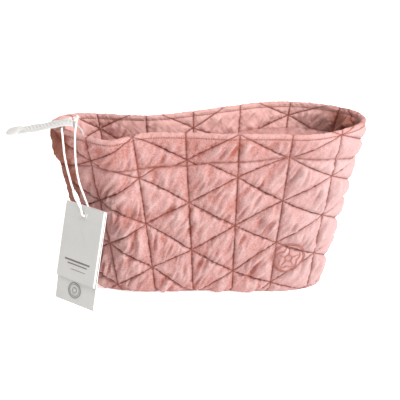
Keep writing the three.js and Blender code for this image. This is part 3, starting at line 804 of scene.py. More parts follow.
def pattern_rows(half, t, starts, pitches):
    """Where a part of the pattern starts below the rim, and the height of its rows."""
    offset = BACK_OFFSET if half == "back" else 0.0
    return np.interp(t, PATTERN_STATIONS, starts) + offset, np.interp(t, PATTERN_STATIONS, pitches)


def pattern_place(half, t, below):
    """Column and row of a place in the quilting pattern; lines meet where both are whole or both are half."""
    t, below = np.broadcast_arrays(np.asarray(t, float), np.asarray(below, float))
    rows = []
    for starts, pitches in ((COLLAR_START, COLLAR_PITCH), (WALL_START, WALL_PITCH)):
        start, pitch = pattern_rows(half, t, starts, pitches)
        rows.append((below - start) / pitch)
    return pattern_column(half, t), np.where(below < seam_depth(half, t), *rows)


def line_distances(half, t, below):
    """Distances to the nearest vertical line and to the two families of diagonals."""
    width = cloth_width(half, below)
    column, row = pattern_place(half, t, below)
    upright = np.abs(column - np.round(column)) * width / COLUMNS
    steepness = np.hypot(1 / WALL_PITCH[0], COLUMNS / 2 / width)
    diagonals = []
    for sign in (-1, 1):
        place = row + sign * column / 2
        diagonals.append(np.abs(place - np.round(place)) / steepness)
    return upright, *diagonals


def pocket(distance, width):
    return 1 - np.exp(-distance / width)


def pinch(distance, near=PINCH_NEAR):
    """A steep rise beside a stitched line that goes on as a gentle dome."""
    soft = np.hypot(distance, 0.4) - 0.25
    return 0.55 * pocket(soft, near) + 0.45 * pocket(soft, PINCH_FAR)


def seam_depth(half, t):
    """How far below the rim the seam of the collar crosses the outside."""
    return np.interp(t, SEAM_STATIONS, SEAM_DROPS[half]) + SEAM_WAVE * np.sin(SEAM_WAVE_RATE * np.asarray(t))


def seam_distances(half, t, below):
    """Distances to the side seams, the collar's seam and the topstitching."""
    side = np.minimum(t, 1 - t) * cloth_width(half, below)
    return side, np.abs(below - seam_depth(half, t)), np.abs(below - TOPSTITCH_DROP)


def quilt_height(half, t, below):
    """How far the quilted cloth stands out, from 0 on a stitched line."""
    side, collar, topstitch = seam_distances(half, t, below)
    height = pocket(side, SIDE_POCKET) * pinch(collar, COLLAR_POCKET) * pocket(topstitch, TOPSTITCH_POCKET)
    for distance in line_distances(half, t, below):
        height = height * pinch(distance)
    return height


def crease_mask(half, t, below):
    """0 on a seam, rising to 1 within a few millimetres; the material paints shade, with some dye, where it
    is low. The quilting lines are left to the material.
    """
    t, below = np.broadcast_arrays(np.asarray(t, float), np.asarray(below, float))
    side, collar, topstitch = seam_distances(half, t, below)
    return np.clip(np.minimum.reduce([side * 0.8, collar, topstitch * 1.6 + 0.65]) / CREASE_REACH, 0, 1)


def wrinkles(half, t, below, seed):
    """Creases that run up to the right across each pocket, with sharp valleys."""
    x = t * RIM_LENGTH[half]
    bend = BEND * gradient_noise(x / BEND_SPAN, below / BEND_SPAN, seed + 1)
    run = x * math.cos(WRINKLE_LEAN) - below * math.sin(WRINKLE_LEAN) + bend
    across = x * math.sin(WRINKLE_LEAN) + below * math.cos(WRINKLE_LEAN) + bend
    broad = gradient_noise(across / BROAD_SPAN[0], run / BROAD_SPAN[1], seed + 2)
    fine = gradient_noise(across / FINE_SPAN[0], run / FINE_SPAN[1], seed + 3)
    strength = 0.75 + 1.5 * gradient_noise(x / STRENGTH_SPAN, below / STRENGTH_SPAN, seed + 4)
    height = BROAD_FOLD * broad + FINE_FOLD * (FINE_LEVEL - np.abs(fine))
    return height * np.clip(strength, *STRENGTH_LIMITS)


def puckers(half, t, below, seed):
    """Short gathers that cross the stitched lines and die out a few millimetres away."""
    x = t * RIM_LENGTH[half]
    nearest = np.minimum.reduce(line_distances(half, t, below))
    ripple = gradient_noise(x / PUCKER_SPAN, below / PUCKER_SPAN, seed + 6)
    return ripple * np.exp(-nearest / PUCKER_REACH)


# ---- Outer quilt --------------------------------------------------------------------------------

BEAD_RADIUS = 2.3
BEAD_FOOT = 3.1
BEAD_STEPS = 11
FACING_INSET = 4.8
TUCK_INSET = 4.2
BASE_ROWS = 14
BASE_CORNER = 8
FACING_ROWS = 22
PUFF = 4.6
FACING_PUFF = 3.6
SAG_REACH = 0.13
FLOOR_GAP = 0.15
COLLAPSE_CENTRE = 0.95
COLLAPSE_WIDTH = 0.03
COLLAPSE_RISE = 5.5
COLLAPSE_CREASE = 0.5
COLLAPSE_CREASE_WIDTH = 0.008
FACING_SEED_STEP = 20
# How much darker the collar band is painted: painted shade where the band curls outwards.
COLLAR_PAINTED_SHADE = 0.24
# Where the painted light on the right side of the walls comes in.
PAINTED_RIGHT_LIGHT_SPAN = (0.6, 0.95)
INNER_SHADE = 0.85
END_SHADE_SPAN = {"front": (0.104, 0.126), "back": (0.03, 0.1)}
INNER_SHADE_SPAN = {"front": (0.9, 0.96), "back": (0.81, 0.91)}
FLOWER_T = 0.772
FLOWER_BELOW = 114
FLOWER_RADIUS = 14.2
QUILT_SEED = {"front": 100, "back": 300}
CLOTH_MAP_BELOW = 60


def embroidered(half, t, below):
    """1 inside the embroidered flower's disc on the front, 0 away from it."""
    if half == "back":
        return 0.0
    reach = np.hypot((t - FLOWER_T) * cloth_width(half, FLOWER_BELOW), below - FLOWER_BELOW)
    return 1 - smooth_step(FLOWER_RADIUS, FLOWER_RADIUS + 4, reach)


def collapse(t):
    """The soft fold where the back of the collar has slumped at its right end, and the crease beside it."""
    fold = COLLAPSE_RISE * np.exp(-(((t - COLLAPSE_CENTRE) / COLLAPSE_WIDTH) ** 2))
    line = LINE_PLACES["back"][-1]
    return fold - COLLAPSE_CREASE * np.exp(-(((t - line) / COLLAPSE_CREASE_WIDTH) ** 2))


def bottom_medial(half, t):
    """Where a half's base rows start: on the line along the middle of the base."""
    edge = face_point(half, t, 0)
    reach = BASE_HALF_LENGTH - BASE_HALF_DEPTH
    return np.stack([np.clip(edge[:, 0], -reach, reach), np.zeros(len(t)), np.zeros(len(t))], axis=1)


class Quilt:
    """One half of the outer cloth, from the middle of the base up the wall, over the rim and down inside."""

    def __init__(self, half, seed):
        self.half, self.seed = half, seed
        columns = np.arange(COLUMNS * CELLS + 1) / CELLS - COLUMN_START
        self.t = np.interp(columns, COLUMN_NUMBERS, (0, *LINE_PLACES[half], 1))
        self.side = np.minimum(self.t, 1 - self.t) * RIM_LENGTH[half]
        self.kinds, self.rows = [], []
        self.add_base()
        self.add_wall()
        self.add_bead()
        self.add_facing()
        stacks = (np.array(rows) for rows in zip(*self.rows))
        self.points, out, self.below, rise, self.crease, self.fold = stacks
        self.place = self.points + out * rise[..., None]
        self.place[..., 0] -= END_SAG * np.exp(-((self.t / SAG_REACH) ** 2)) * self.sag_profile()
        self.place[..., 2] = np.maximum(self.place[..., 2], FLOOR_GAP)

    def add_row(self, kind, points, out, below, rise, crease, fold=0.0):
        self.kinds.append(kind)
        numbers = (np.broadcast_to(value, self.t.shape) for value in (below, rise, crease, fold))
        self.rows.append((points, out, *numbers))

    def folds(self, below, seed):
        """Wrinkles and puckers together, held flat at the seams, the topstitching and the embroidery."""
        lift = quilt_height(self.half, self.t, below)
        amount = wrinkles(self.half, self.t, below, seed) * (0.15 + 0.85 * lift)
        amount = amount + PUCKER * puckers(self.half, self.t, below, seed)
        flower = embroidered(self.half, self.t, below)
        return amount * pocket(self.side, 4) * smooth_step(4, 9, below) * (1 - 0.6 * flower)

    def add_base(self):
        medial, edge = bottom_medial(self.half, self.t), face_point(self.half, self.t, 0)
        reach = np.linalg.norm(edge - medial, axis=1)
        down = np.tile([0.0, 0.0, -1.0], (len(self.t), 1))
        for k in range(BASE_ROWS):
            v = k / BASE_ROWS
            below = WALL_RUN + (1 - v) * reach
            rise = -0.9 * (1 - quilt_height(self.half, self.t, below))
            points = medial * (1 - v) + edge * v
            self.add_row("base", points, down, below, rise, crease_mask(self.half, self.t, below))

    def add_wall(self):
        count = int(round((WALL_RUN - FIRST_ROW) / ROW_STEP))
        belows = [WALL_RUN] + [FIRST_ROW + ROW_STEP * k for k in range(count - 1, 1, -1)]
        for below in belows:
            height = 1 - below / WALL_RUN
            plan = face_normal(self.half, self.t, height)
            turn = math.pi / 2 * min(1, (WALL_RUN - below) / BASE_CORNER)
            out = plan * math.sin(turn) + np.array([0, 0, -1]) * math.cos(turn)
            lift = quilt_height(self.half, self.t, below)
            fade = 0.55 + 0.45 * smooth_step(0, 10, WALL_RUN - below)
            folds = self.folds(below, self.seed) * fade
            rise = np.maximum(-GROOVE + PUFF * lift * fade + folds, DEEPEST)
            points = face_point(self.half, self.t, height)
            self.add_row("wall", points, out, below, rise, crease_mask(self.half, self.t, below), folds)

    def add_bead(self):
        """The rolled top edge above the topstitching."""
        places = [(0, TOPSTITCH_DROP, 0.0), (0, BEAD_FOOT, 0.0)]
        for angle in np.linspace(0, math.pi, BEAD_STEPS):
            places.append((BEAD_RADIUS * (1 - math.cos(angle)), BEAD_RADIUS * (1 - math.sin(angle)), angle))
        places += [(2 * BEAD_RADIUS, BEAD_FOOT, math.pi), (2 * BEAD_RADIUS, TOPSTITCH_DROP, math.pi)]
        for inset, drop, angle in places:
            points = inset_point(self.half, self.t, drop, inset)
            plan = face_normal(self.half, self.t, 1 - drop / WALL_RUN)
            out = plan * math.cos(angle) + np.array([0, 0, 1]) * math.sin(angle)
            crease = np.clip(abs(TOPSTITCH_DROP - drop) / 3 + 0.13, 0, 1)
            self.add_row("bead", points, out, drop, self.bead_rise(drop, angle), crease)

    def bead_rise(self, drop, angle):
        """Slanting ripples of the roll, pulled in at the topstitching and where quilting lines cross it."""
        x = self.t * RIM_LENGTH[self.half]
        place = np.full_like(x, angle + 3)
        pull = math.exp(-(((TOPSTITCH_DROP - drop) / 1.1) ** 2))
        ripple = 1.15 * gradient_noise((x + 2.5 * math.cos(angle)) / 2.1, place, self.seed + 9)
        ripple = ripple + 0.5 * gradient_noise(x / 8, place, self.seed + 8)
        rise = (0.1 + ripple * (1 - 0.7 * pull)) * pocket(self.side, 3) - 0.3 * pull
        return rise - 0.45 * np.exp(-line_distances(self.half, self.t, drop)[0] / 1.6)

    def add_facing(self):
        depth = recess_depth(self.half, self.t)
        for share in np.arange(1, FACING_ROWS + 1) / FACING_ROWS:
            drop = TOPSTITCH_DROP + (depth - TOPSTITCH_DROP) * share
            points = inset_point(self.half, self.t, drop, FACING_INSET)
            out = -face_normal(self.half, self.t, 1 - drop / WALL_RUN)
            folds = 0.85 * self.folds(drop, self.seed + FACING_SEED_STEP)
            lift = quilt_height(self.half, self.t, drop)
            rise = np.maximum(-0.5 + FACING_PUFF * lift + folds, FACING_DEEPEST)
            if self.half == "back":
                reach = math.sin(math.pi * min(1, 0.15 + 0.85 * share))
                rise = rise + collapse(self.t) * pocket(self.side, 3) * reach
            self.add_row("facing", points, out, drop, rise, crease_mask(self.half, self.t, drop), folds)
        tuck = inset_point(self.half, self.t, depth + 1.6, TUCK_INSET)
        self.add_row("facing", tuck, out, depth, 0.0, 0.1)

    def sag_profile(self):
        """How much of the left end's sag each place gets: most under the rim, none towards the base."""
        profile = (0.75 + 0.25 * smooth_step(0, 20, self.below)) * (1 - smooth_step(35, 95, self.below))
        bead = self.kind_rows("bead")
        profile[bead] *= np.linspace(1, 0.25, len(bead))[:, None]
        profile[self.kind_rows("facing")] = 0
        return profile

    def kind_rows(self, kind):
        return [i for i, name in enumerate(self.kinds) if name == kind]

    def outside_at(self, t, below):
        """Points of the finished outside at places on the cloth."""
        rows = self.kind_rows("wall") + self.kind_rows("bead")[:1]
        belows = np.array([self.below[i, 0] for i in rows])
        row = np.interp(-np.asarray(below, float), -belows, np.arange(len(rows)))
        return self.blend_rows(rows, row, t)

    def facing_at(self, t, fraction):
        """Points of the finished facing, from its topstitching at 0 to its lower seam at 1."""
        rows = self.kind_rows("bead")[-1:] + self.kind_rows("facing")[:-1]
        return self.blend_rows(rows, np.asarray(fraction, float) * FACING_ROWS, t)

    def blend_rows(self, rows, row, t):
        column = np.interp(np.asarray(t, float), self.t, np.arange(len(self.t)))
        i = np.clip(np.floor(row).astype(int), 0, len(rows) - 2)
        j = np.clip(np.floor(column).astype(int), 0, len(self.t) - 2)
        u, v = (row - i)[..., None], (column - j)[..., None]
        place = self.place[rows]
        low = place[i, j] * (1 - v) + place[i, j + 1] * v
        high = place[i + 1, j] * (1 - v) + place[i + 1, j + 1] * v
        return low * (1 - u) + high * u


def end_shade(half, t, below):
    """1 on the shaded strip where the cloth turns in at the left end, 0 elsewhere."""
    strip = 1 - smooth_step(*END_SHADE_SPAN[half], t)
    return strip * smooth_step(1, 6, below) * (1 - smooth_step(105, 140, below))


def quilt_tones(half, quilt):
    """Where the material paints shade at the left end and inside the right end, and painted light inside the
    bag and on the right side of the walls.
    """
    wall, bead, facing = (quilt.kind_rows(kind) for kind in ("wall", "bead", "facing"))
    curled = smooth_step(*INNER_SHADE_SPAN[half], quilt.t)
    shade = end_shade(half, quilt.t, quilt.below)
    shade[facing] = INNER_SHADE * curled
    inner, painted_right_light = np.zeros(shade.shape), np.zeros(shade.shape)
    # Painted light inside the bag, fading in over the rolled edge and out where the right end is shaded.
    inner[facing] = 1 - curled
    inner[bead] = np.linspace(0.2, 1, len(bead))[:, None] * (1 - curled)
    # Painted light on the right side of the walls.
    painted_right_light[wall] = smooth_step(*PAINTED_RIGHT_LIGHT_SPAN, quilt.t)
    return {"end_shade": shade, "inner": inner, "painted_right_light": painted_right_light}


def add_quilt(half):
    quilt = Quilt(half, QUILT_SEED[half])
    faces = grid_faces(*quilt.below.shape, flip=half == "back")
    piece = add_piece(f"quilt_{half}", quilt.place.reshape(-1, 3), faces, cotton, slot="cotton")
    # Tone from the folds' height: high spots paler, partly wear and partly painted highlight, low spots
    # darker as painted shade.
    wear = np.clip(0.5 + 0.3 * quilt.fold, 0, 1)
    # The collar band is darkened as painted shade.
    in_collar = (quilt.below < seam_depth(half, quilt.t)) * smooth_step(TOPSTITCH_DROP, 7, quilt.below)
    column, row = pattern_place(half, quilt.t, quilt.below)
    add_attributes(
        piece, crease=quilt.crease, wear=wear - COLLAR_PAINTED_SHADE * in_collar, column=column, row=row,
        **quilt_tones(half, quilt))
    add_cloth_map(piece, quilt.t * cloth_width(half, CLOTH_MAP_BELOW), unrolled(quilt.points))
    thicken(piece)
    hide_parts(f"outer_{half}")
    return quilt


quilts = {half: add_quilt(half) for half in HALVES}


# ---- Stitching ----------------------------------------------------------------------------------

STITCH_PITCH = 2.6
STITCH_LENGTH = 1.9
STITCH_RADIUS = 0.3
STITCH_LIFT = 0.1
TOPSTITCH_PITCH = 2.1
TOPSTITCH_LENGTH = 1.25
TOPSTITCH_RADIUS = 0.42
TOPSTITCH_LIFT = 0.2
FACING_STITCH_DEPTH = 26


class Stitches:
    """Gathers short stitches into one mesh. Each is a four-sided bead of thread with pointed ends."""

    def __init__(self, radius):
        self.radius = radius
        self.points, self.faces = [], []

    def add(self, start, end, up):
        run = unit(end - start)
        side = unit(np.cross(run, up))
        first = len(self.points)
        self.points.append(start)
        for share in (0.25, 0.75):
            centre = start + (end - start) * share
            for a, b in ((1, 0), (0, 1), (-1, 0), (0, -1)):
                self.points.append(centre + self.radius * (a * side + b * up))
        self.points.append(end)
        for k in range(4):
            n = (k + 1) % 4
            self.faces.append((first, first + 1 + n, first + 1 + k))
            self.faces.append((first + 1 + k, first + 1 + n, first + 5 + n, first + 5 + k))
            self.faces.append((first + 9, first + 5 + k, first + 5 + n))

    def follow(self, line, ups, lift=STITCH_LIFT, pitch=STITCH_PITCH, stitch=STITCH_LENGTH):
        """Stitches at an even pitch along a line of points."""
        length = run_lengths(line)[-1]
        count = int(length / pitch)
        if count < 1:
            return
        middles = (np.arange(count) + 0.5) / count
        starts, ends = (along(line, middles + k * stitch / 2 / length) for k in (-1, 1))
        for start, end, up in zip(starts, ends, unit(along(ups, middles))):
            self.add(start + up * lift, end + up * lift, up)


def surface_line(place_at, t, along_row, outward):
    """A line on the cloth with its outward directions, from places on the cloth."""
    line = place_at(t, along_row)
    beside = place_at(t + 0.002, along_row) - place_at(t - 0.002, along_row)
    below = place_at(t, along_row + 0.01) - place_at(t, along_row - 0.01)
    return line, outward * unit(np.cross(beside, below))


def inside_run(t, below, low, high):
    """The stretches of a line where it lies on the cloth."""
    keep = (t >= 0.004) & (t <= 0.996) & (below >= low) & (below <= high)
    edges = np.flatnonzero(np.diff(np.concatenate([[False], keep, [False]]).astype(int)))
    return [(t[a:b], below[a:b]) for a, b in zip(edges[::2], edges[1::2]) if b - a > 3]


def quilting_lines(half, low, high):
    """Every quilting line of a half as (t, below) runs."""
    runs = []
    for place in LINE_PLACES[half]:
        below = np.linspace(low, high, 160)
        runs.append((np.full_like(below, place), below))
    t = np.linspace(0, 1, 700)
    column = pattern_column(half, t)
    seam = seam_depth(half, t)
    for starts, pitches, above in ((COLLAR_START, COLLAR_PITCH, True), (WALL_START, WALL_PITCH, False)):
        start, pitch = pattern_rows(half, t, starts, pitches)
        for sign in (-1, 1):
            for m in range(-10, 11):
                below = start + pitch * (m - sign * column / 2)
                hidden = below > seam if above else below < seam
                runs += inside_run(t, np.where(hidden, -1, below), low, high)
    return runs


def add_stitching():
    quilting, topstitch = Stitches(STITCH_RADIUS), Stitches(TOPSTITCH_RADIUS)
    for half, quilt in quilts.items():
        sign = -SIDE[half]
        for t, below in quilting_lines(half, TOPSTITCH_DROP + 1, WALL_RUN - 3):
            quilting.follow(*surface_line(quilt.outside_at, t, below, -sign))
        t = np.linspace(0.002, 0.998, 900)
        for line, ups in (
                surface_line(quilt.outside_at, t, np.full_like(t, TOPSTITCH_DROP), -sign),
                surface_line(quilt.facing_at, t, np.zeros_like(t), sign)):
            topstitch.follow(line, ups, TOPSTITCH_LIFT, TOPSTITCH_PITCH, TOPSTITCH_LENGTH)
        for t, below in quilting_lines(half, TOPSTITCH_DROP + 1, FACING_STITCH_DEPTH):
            fraction = (below - TOPSTITCH_DROP) / (recess_depth(half, t) - TOPSTITCH_DROP)
            keep = fraction < 0.98
            if keep.sum() > 3:
                quilting.follow(*surface_line(quilt.facing_at, t[keep], fraction[keep], sign))
    add_piece("quilting_stitches", quilting.points, quilting.faces, quilt_thread, slot="cotton")
    add_piece("topstitching", topstitch.points, topstitch.faces, edge_thread, slot="cotton")


add_stitching()


# ---- Embroidered flower -------------------------------------------------------------------------

PETALS = 5
PETAL_TURN = 0.3
FLOWER_THREAD = (0.48, 0.42)
FLOWER_LIFT = 0.35


def flower_outlines():
    """A plain ring and a five-petalled outline, in millimetres from the middle."""
    turn = np.linspace(0, 2 * math.pi, 181)
    ring = FLOWER_RADIUS * np.stack([np.cos(turn), np.sin(turn)], axis=1)
    turned = np.stack([np.cos(turn + PETAL_TURN), np.sin(turn + PETAL_TURN)], axis=1)
    petals = (7.4 + 2.9 * np.abs(np.cos(PETALS * turn / 2)))[:, None] * turned
    outlines = [ring, ring * 0.9, petals, ring * 0.2]
    for angle in PETAL_TURN + ring_angles(PETALS):
        outlines.append(np.linspace(3.4, 8.6, 20)[:, None] * np.array([[math.cos(angle), math.sin(angle)]]))
    return outlines


def add_flower():
    width = cloth_width("front", FLOWER_BELOW)
    section = ellipse(6, *FLOWER_THREAD)
    tubes = Tubes()
    for outline in flower_outlines():
        t = FLOWER_T + outline[:, 0] / width
        line, ups = surface_line(quilts["front"].outside_at, t, FLOWER_BELOW - outline[:, 1], -1)
        tubes.add(sweep(line + ups * FLOWER_LIFT, section, normals=ups))
    tubes.finish("embroidered_flower", mark_thread, slot="cotton")


add_flower()


# ---- Lining -------------------------------------------------------------------------------------

LINING_INSET = 4.8
LINING_FLOOR = 4.6
LINING_COLUMNS = 150
LINING_ROWS = 56
LINING_FLOOR_ROWS = 12
LINING_TOP_GAP = 0.3
LINING_SEED = {"front": 700, "back": 800}


def lining_wall(half, t, seed):
    """The lining's rows from under the collar to the floor, and how far each point is from a seam."""
    top = recess_depth(half, t) + LINING_TOP_GAP
    rim_z = along(RIMS[half], t)[:, 2]
    rows, creases = [], []
    for v in np.arange(LINING_ROWS) / (LINING_ROWS - 1):
        drop = top + (rim_z - top - LINING_FLOOR) * v
        below = drop / rim_z * WALL_RUN
        lift = quilt_height(half, t, below)
        folds = wrinkles(half, t, below, seed) * pocket(np.minimum(t, 1 - t) * 200, 5)
        swell = math.sin(math.pi * min(1, v * 3) / 2)
        inset = LINING_INSET + (0.9 * lift + 0.5 * folds) * swell + 3 * max(0, v - 0.93) / 0.07
        rows.append(inset_point(half, t, drop, inset))
        creases.append(crease_mask(half, t, below))
    return rows, creases


def add_lining(half):
    """The inner cloth, from under the collar down the wall and over the floor."""
    seed = LINING_SEED[half]
    t = np.linspace(0, 1, LINING_COLUMNS)
    rows, creases = lining_wall(half, t, seed)
    foot, medial = rows[-1], bottom_medial(half, t)
    for share in np.arange(1, LINING_FLOOR_ROWS + 1) / LINING_FLOOR_ROWS:
        points = foot * (1 - share) + medial * share
        points[:, 2] = LINING_FLOOR + 0.3 * gradient_noise(points[:, 0] / 9, points[:, 1] / 9, seed + 5)
        rows.append(points)
        creases.append(np.full_like(t, 0.8))
    grid = np.array(rows)
    faces = grid_faces(*grid.shape[:2], flip=half == "back")
    piece = add_piece(f"lining_cloth_{half}", grid.reshape(-1, 3), faces, lining_cotton, slot="lining")
    add_attributes(piece, crease=creases, wear=0.5, column=0.5, row=0.5)
    add_cloth_map(piece, t * cloth_width(half, CLOTH_MAP_BELOW), unrolled(grid))
    thicken(piece)
    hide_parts(f"lining_{half}")


for half in HALVES:
    add_lining(half)


# ---- Zip panels, tapes and teeth ----------------------------------------------------------------

ZIP_TILT = math.atan2(ZIP_RIGHT[2] - ZIP_LEFT[2], ZIP_RIGHT[0] - ZIP_LEFT[0])
ZIP_RIGHTWARD = np.array([math.cos(ZIP_TILT), 0, math.sin(ZIP_TILT)])
ZIP_UPWARD = np.array([-math.sin(ZIP_TILT), 0, math.cos(ZIP_TILT)])
BACKWARD = np.array([0.0, 1.0, 0.0])
TEETH_PITCH = 3.0
PANEL_THICKNESS = 1.4
PANEL_OVERLAP = 1.2
PANEL_COLUMNS = 150
PANEL_ROWS = 14
PANEL_MAP_DEPTH = 40
PANEL_SEED = {"front": 900, "back": 950}
TOOTH_PROFILE = (
    (-3.4, 0.45, 0.7), (-3.0, 0.8, 1.0), (-1.6, 0.85, 1.05), (-0.7, 0.6, 0.85), (0.0, 0.5, 0.7),
    (0.45, 0.78, 0.78), (0.8, 0.7, 0.6), (0.95, 0.35, 0.3),
)


def teeth_line(half):
    """The line of one row of teeth in the zip's plane, as (x, y) from the zip's left end."""
    return uniform_spline([(x - ZIP_LEFT[0], y) for x, y in ZIP_JOINED + ZIP_PARTED[half]])


TEETH_LINES = {half: teeth_line(half) for half in HALVES}


def zip_place(flat, rise=0.0):
    """Points of the zip's plane in the bag's frame."""
    return ZIP_LEFT + flat[..., :1] * ZIP_RIGHTWARD + flat[..., 1:2] * BACKWARD + rise * ZIP_UPWARD


def direction_along(line, fractions, step):
    """Unit directions along a line at fractions of its length."""
    return unit(along(line, np.clip(fractions + step, 0, 1)) - along(line, np.clip(fractions - step, 0, 1)))


def beside_teeth(half, fractions, offset):
    """Points beside a teeth line, offset to its back side."""
    run = direction_along(TEETH_LINES[half], fractions, 0.002)
    return along(TEETH_LINES[half], fractions) + np.stack([-run[..., 1], run[..., 0]], axis=-1) * offset


def panel_edges(half, t):
    """The panel's edge under the facing and its edge on the zip's tape."""
    wall = inset_point(half, t, recess_depth(half, t) + 0.6, FACING_INSET + 0.2)
    offset = SIDE[half] * (TAPE_INNER_EDGE + TAPE_WIDTH - PANEL_OVERLAP)
    tape = zip_place(beside_teeth(half, np.linspace(0.01, 1, 300), offset), 0.2)
    tape = tape[np.argsort(tape[:, 0])]
    edge = np.stack([np.interp(wall[:, 0], tape[:, 0], tape[:, k]) for k in range(3)], axis=1)
    return wall, edge


def panel_top(half, t):
    """The panel's upper side, row by row from the wall to the tape, and how far each point is from a seam."""
    wall, edge = panel_edges(half, t)
    reach = np.linalg.norm(edge - wall, axis=1)
    x = t * RIM_LENGTH[half]
    column = pattern_column(half, t)
    upright = np.abs(column - np.round(column)) * RIM_LENGTH[half] / COLUMNS
    top, creases = [], []
    for v in np.arange(PANEL_ROWS) / (PANEL_ROWS - 1):
        seam_gap = np.minimum(v, 1 - v) * reach
        lift = pocket(upright, 3) * pocket(seam_gap, 1.8)
        folds = gradient_noise((x + v * 9) / 3.4, np.full_like(x, v * 2.2), PANEL_SEED[half])
        points = wall * (1 - v) + edge * v
        points[:, 2] += 0.6 + 1.5 * lift + 0.9 * folds * lift
        top.append(points)
        creases.append(np.clip(np.minimum(upright, seam_gap) / 4, 0, 1))
    return np.array(top), creases


def pad_faces(rows, columns, flip):
    """Faces of a pad whose lower side's rows follow those of its upper side in reverse order."""
    faces = [list(f) for f in grid_faces(2 * rows, columns, flip=flip)]
    last = (2 * rows - 1) * columns
    closing = [[last + j, last + j + 1, j + 1, j] for j in range(columns - 1)]
    faces += [f[::-1] for f in closing] if flip else closing
    for j in (0, columns - 1):
        for k in range(rows - 1):
            lower = last - k * columns + j
            faces.append([k * columns + j, (k + 1) * columns + j, lower - columns, lower])
    return faces


def add_panel(half):
    """The cloth between the collar's lower seam and the zip tape, as a soft closed pad."""
    t = np.linspace(*PANEL_SPAN[half], PANEL_COLUMNS)
    top, creases = panel_top(half, t)
    grid = np.concatenate([top, top[::-1] - (0, 0, PANEL_THICKNESS)])
    faces = pad_faces(PANEL_ROWS, PANEL_COLUMNS, half == "front")
    piece = add_piece(f"zip_panel_cloth_{half}", grid.reshape(-1, 3), faces, cotton, slot="cotton")
    add_attributes(piece, crease=np.concatenate([creases, creases[::-1]]), wear=0.5, column=0.5, row=0.5)
    down = np.linspace(0, PANEL_MAP_DEPTH, 2 * PANEL_ROWS)[:, None]
    add_cloth_map(piece, t * RIM_LENGTH[half], down)
    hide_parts(f"zip_panel_{half}")


for half in HALVES:
    add_panel(half)


def tooth_rings(centre, inward, run, up):
    """Rounded sections of one moulded tooth, from its clamp on the tape to its head."""
    return moulded_rings((centre, inward, run, up), TOOTH_PROFILE, ring_angles(8) + math.pi / 8, (0.6, 0.6))


def add_teeth(half):
    """A row of moulded teeth on a thick corded tape edge."""
    side = SIDE[half]
    length = run_lengths(TEETH_LINES[half])[-1]
    first = 1.6 if half == "front" else 1.6 + TEETH_PITCH / 2
    places = np.arange(first, length - 3.2, TEETH_PITCH) / length
    centres = zip_place(along(TEETH_LINES[half], places))
    outward = unit(zip_place(beside_teeth(half, places, side)) - centres)
    tubes = Tubes()
    for centre, away in zip(centres, outward):
        tubes.add(tooth_rings(centre, -away, unit(np.cross(ZIP_UPWARD, away)), ZIP_UPWARD))
    edge = zip_place(beside_teeth(half, np.linspace(0.005, 0.998, 220), side * 2.9))
    tubes.add(sweep(edge, ellipse(10, 0.75, 0.75)))
    piece = tubes.finish(f"zip_teeth_row_{half}", zip_teeth, slot="zip_teeth", flat_angle=50)
    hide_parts(f"zip_teeth_{half}")


for half in HALVES:
    add_teeth(half)


# ---- Zip tail -----------------------------------------------------------------------------------

TAIL_LINE = catmull_rom(TAIL_ROUTE, per_segment=60)
TAIL_LENGTH = run_lengths(TAIL_LINE)[-1]
TAIL_GATHER_SPAN = (0.33, 0.43)
TAIL_TEETH_PITCH = 1.5
TAPE_HALF_THICKNESS = 0.42
TAIL_END_PROFILE = (
    (-2.2, 10.9, 0.9), (-2.0, 11.3, 1.35), (1.0, 11.3, 1.45), (4.0, 11.0, 1.35), (6.2, 10.3, 1.25),
    (7.8, 9.0, 1.1), (8.8, 7.2, 0.9), (9.3, 5.2, 0.5),
)


def tail_frames(fractions):
    """Centres, across, up and run directions along the tail."""
    run = direction_along(TAIL_LINE, fractions, 0.01)
    across = unit(BACKWARD - run * run[:, 1:2])
    up = unit(np.cross(across, run))
    return along(TAIL_LINE, fractions), across, np.where(up[:, 2:3] < 0, -up, up), run


def gathered(fractions, smallest):
    """The tail's width against its full one: it is gathered where it leaves the bag."""
    return smallest + (1 - smallest) * smooth_step(*TAIL_GATHER_SPAN, fractions)


def tail_tape_section(side, near, far):
    """One tape's section, thin and drooping a little towards its outer edge."""
    offsets = np.linspace(near, far, 8)
    droop = -0.015 * (offsets - near) ** 1.5
    ring = [(side * a, d + TAPE_HALF_THICKNESS) for a, d in zip(offsets, droop)]
    ring += [(side * (far + 0.3), droop[-1])]
    ring += [(side * a, d - TAPE_HALF_THICKNESS) for a, d in zip(offsets[::-1], droop[::-1])]
    ring += [(side * (near - 0.2), 0.0)]
    return np.array(ring if side > 0 else ring[::-1])


def add_tail_tape():
    """Both tapes of the tail, slightly cupped, bending where the tail hinges."""
    fractions = np.linspace(0, 1, 110)
    centres, across, up, _ = tail_frames(fractions)
    near, far = TAIL_TEETH_WIDTH / 2 - 0.6, TAIL_TEETH_WIDTH / 2 + TAIL_TAPE_WIDTH
    gather = gathered(fractions, 0.18)
    tubes = Tubes()
    for side in (-1, 1):
        section = tail_tape_section(side, near, far)
        wave = 0.22 * np.sin(fractions * 31 + side)
        tubes.add(np.array([
            centre + section[:, :1] * g * a + (section[:, 1:] + w * np.abs(section[:, :1]) / far) * u
            for centre, a, u, w, g in zip(centres, across, up, wave, gather)]))
    piece = tubes.finish("tail_tape", zip_tape, body=None, slot="zip_tape", flat_angle=60)
    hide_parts(*(f"tail_{part}_tape_{half}" for part in ("bridge", "end") for half in HALVES))
    return piece


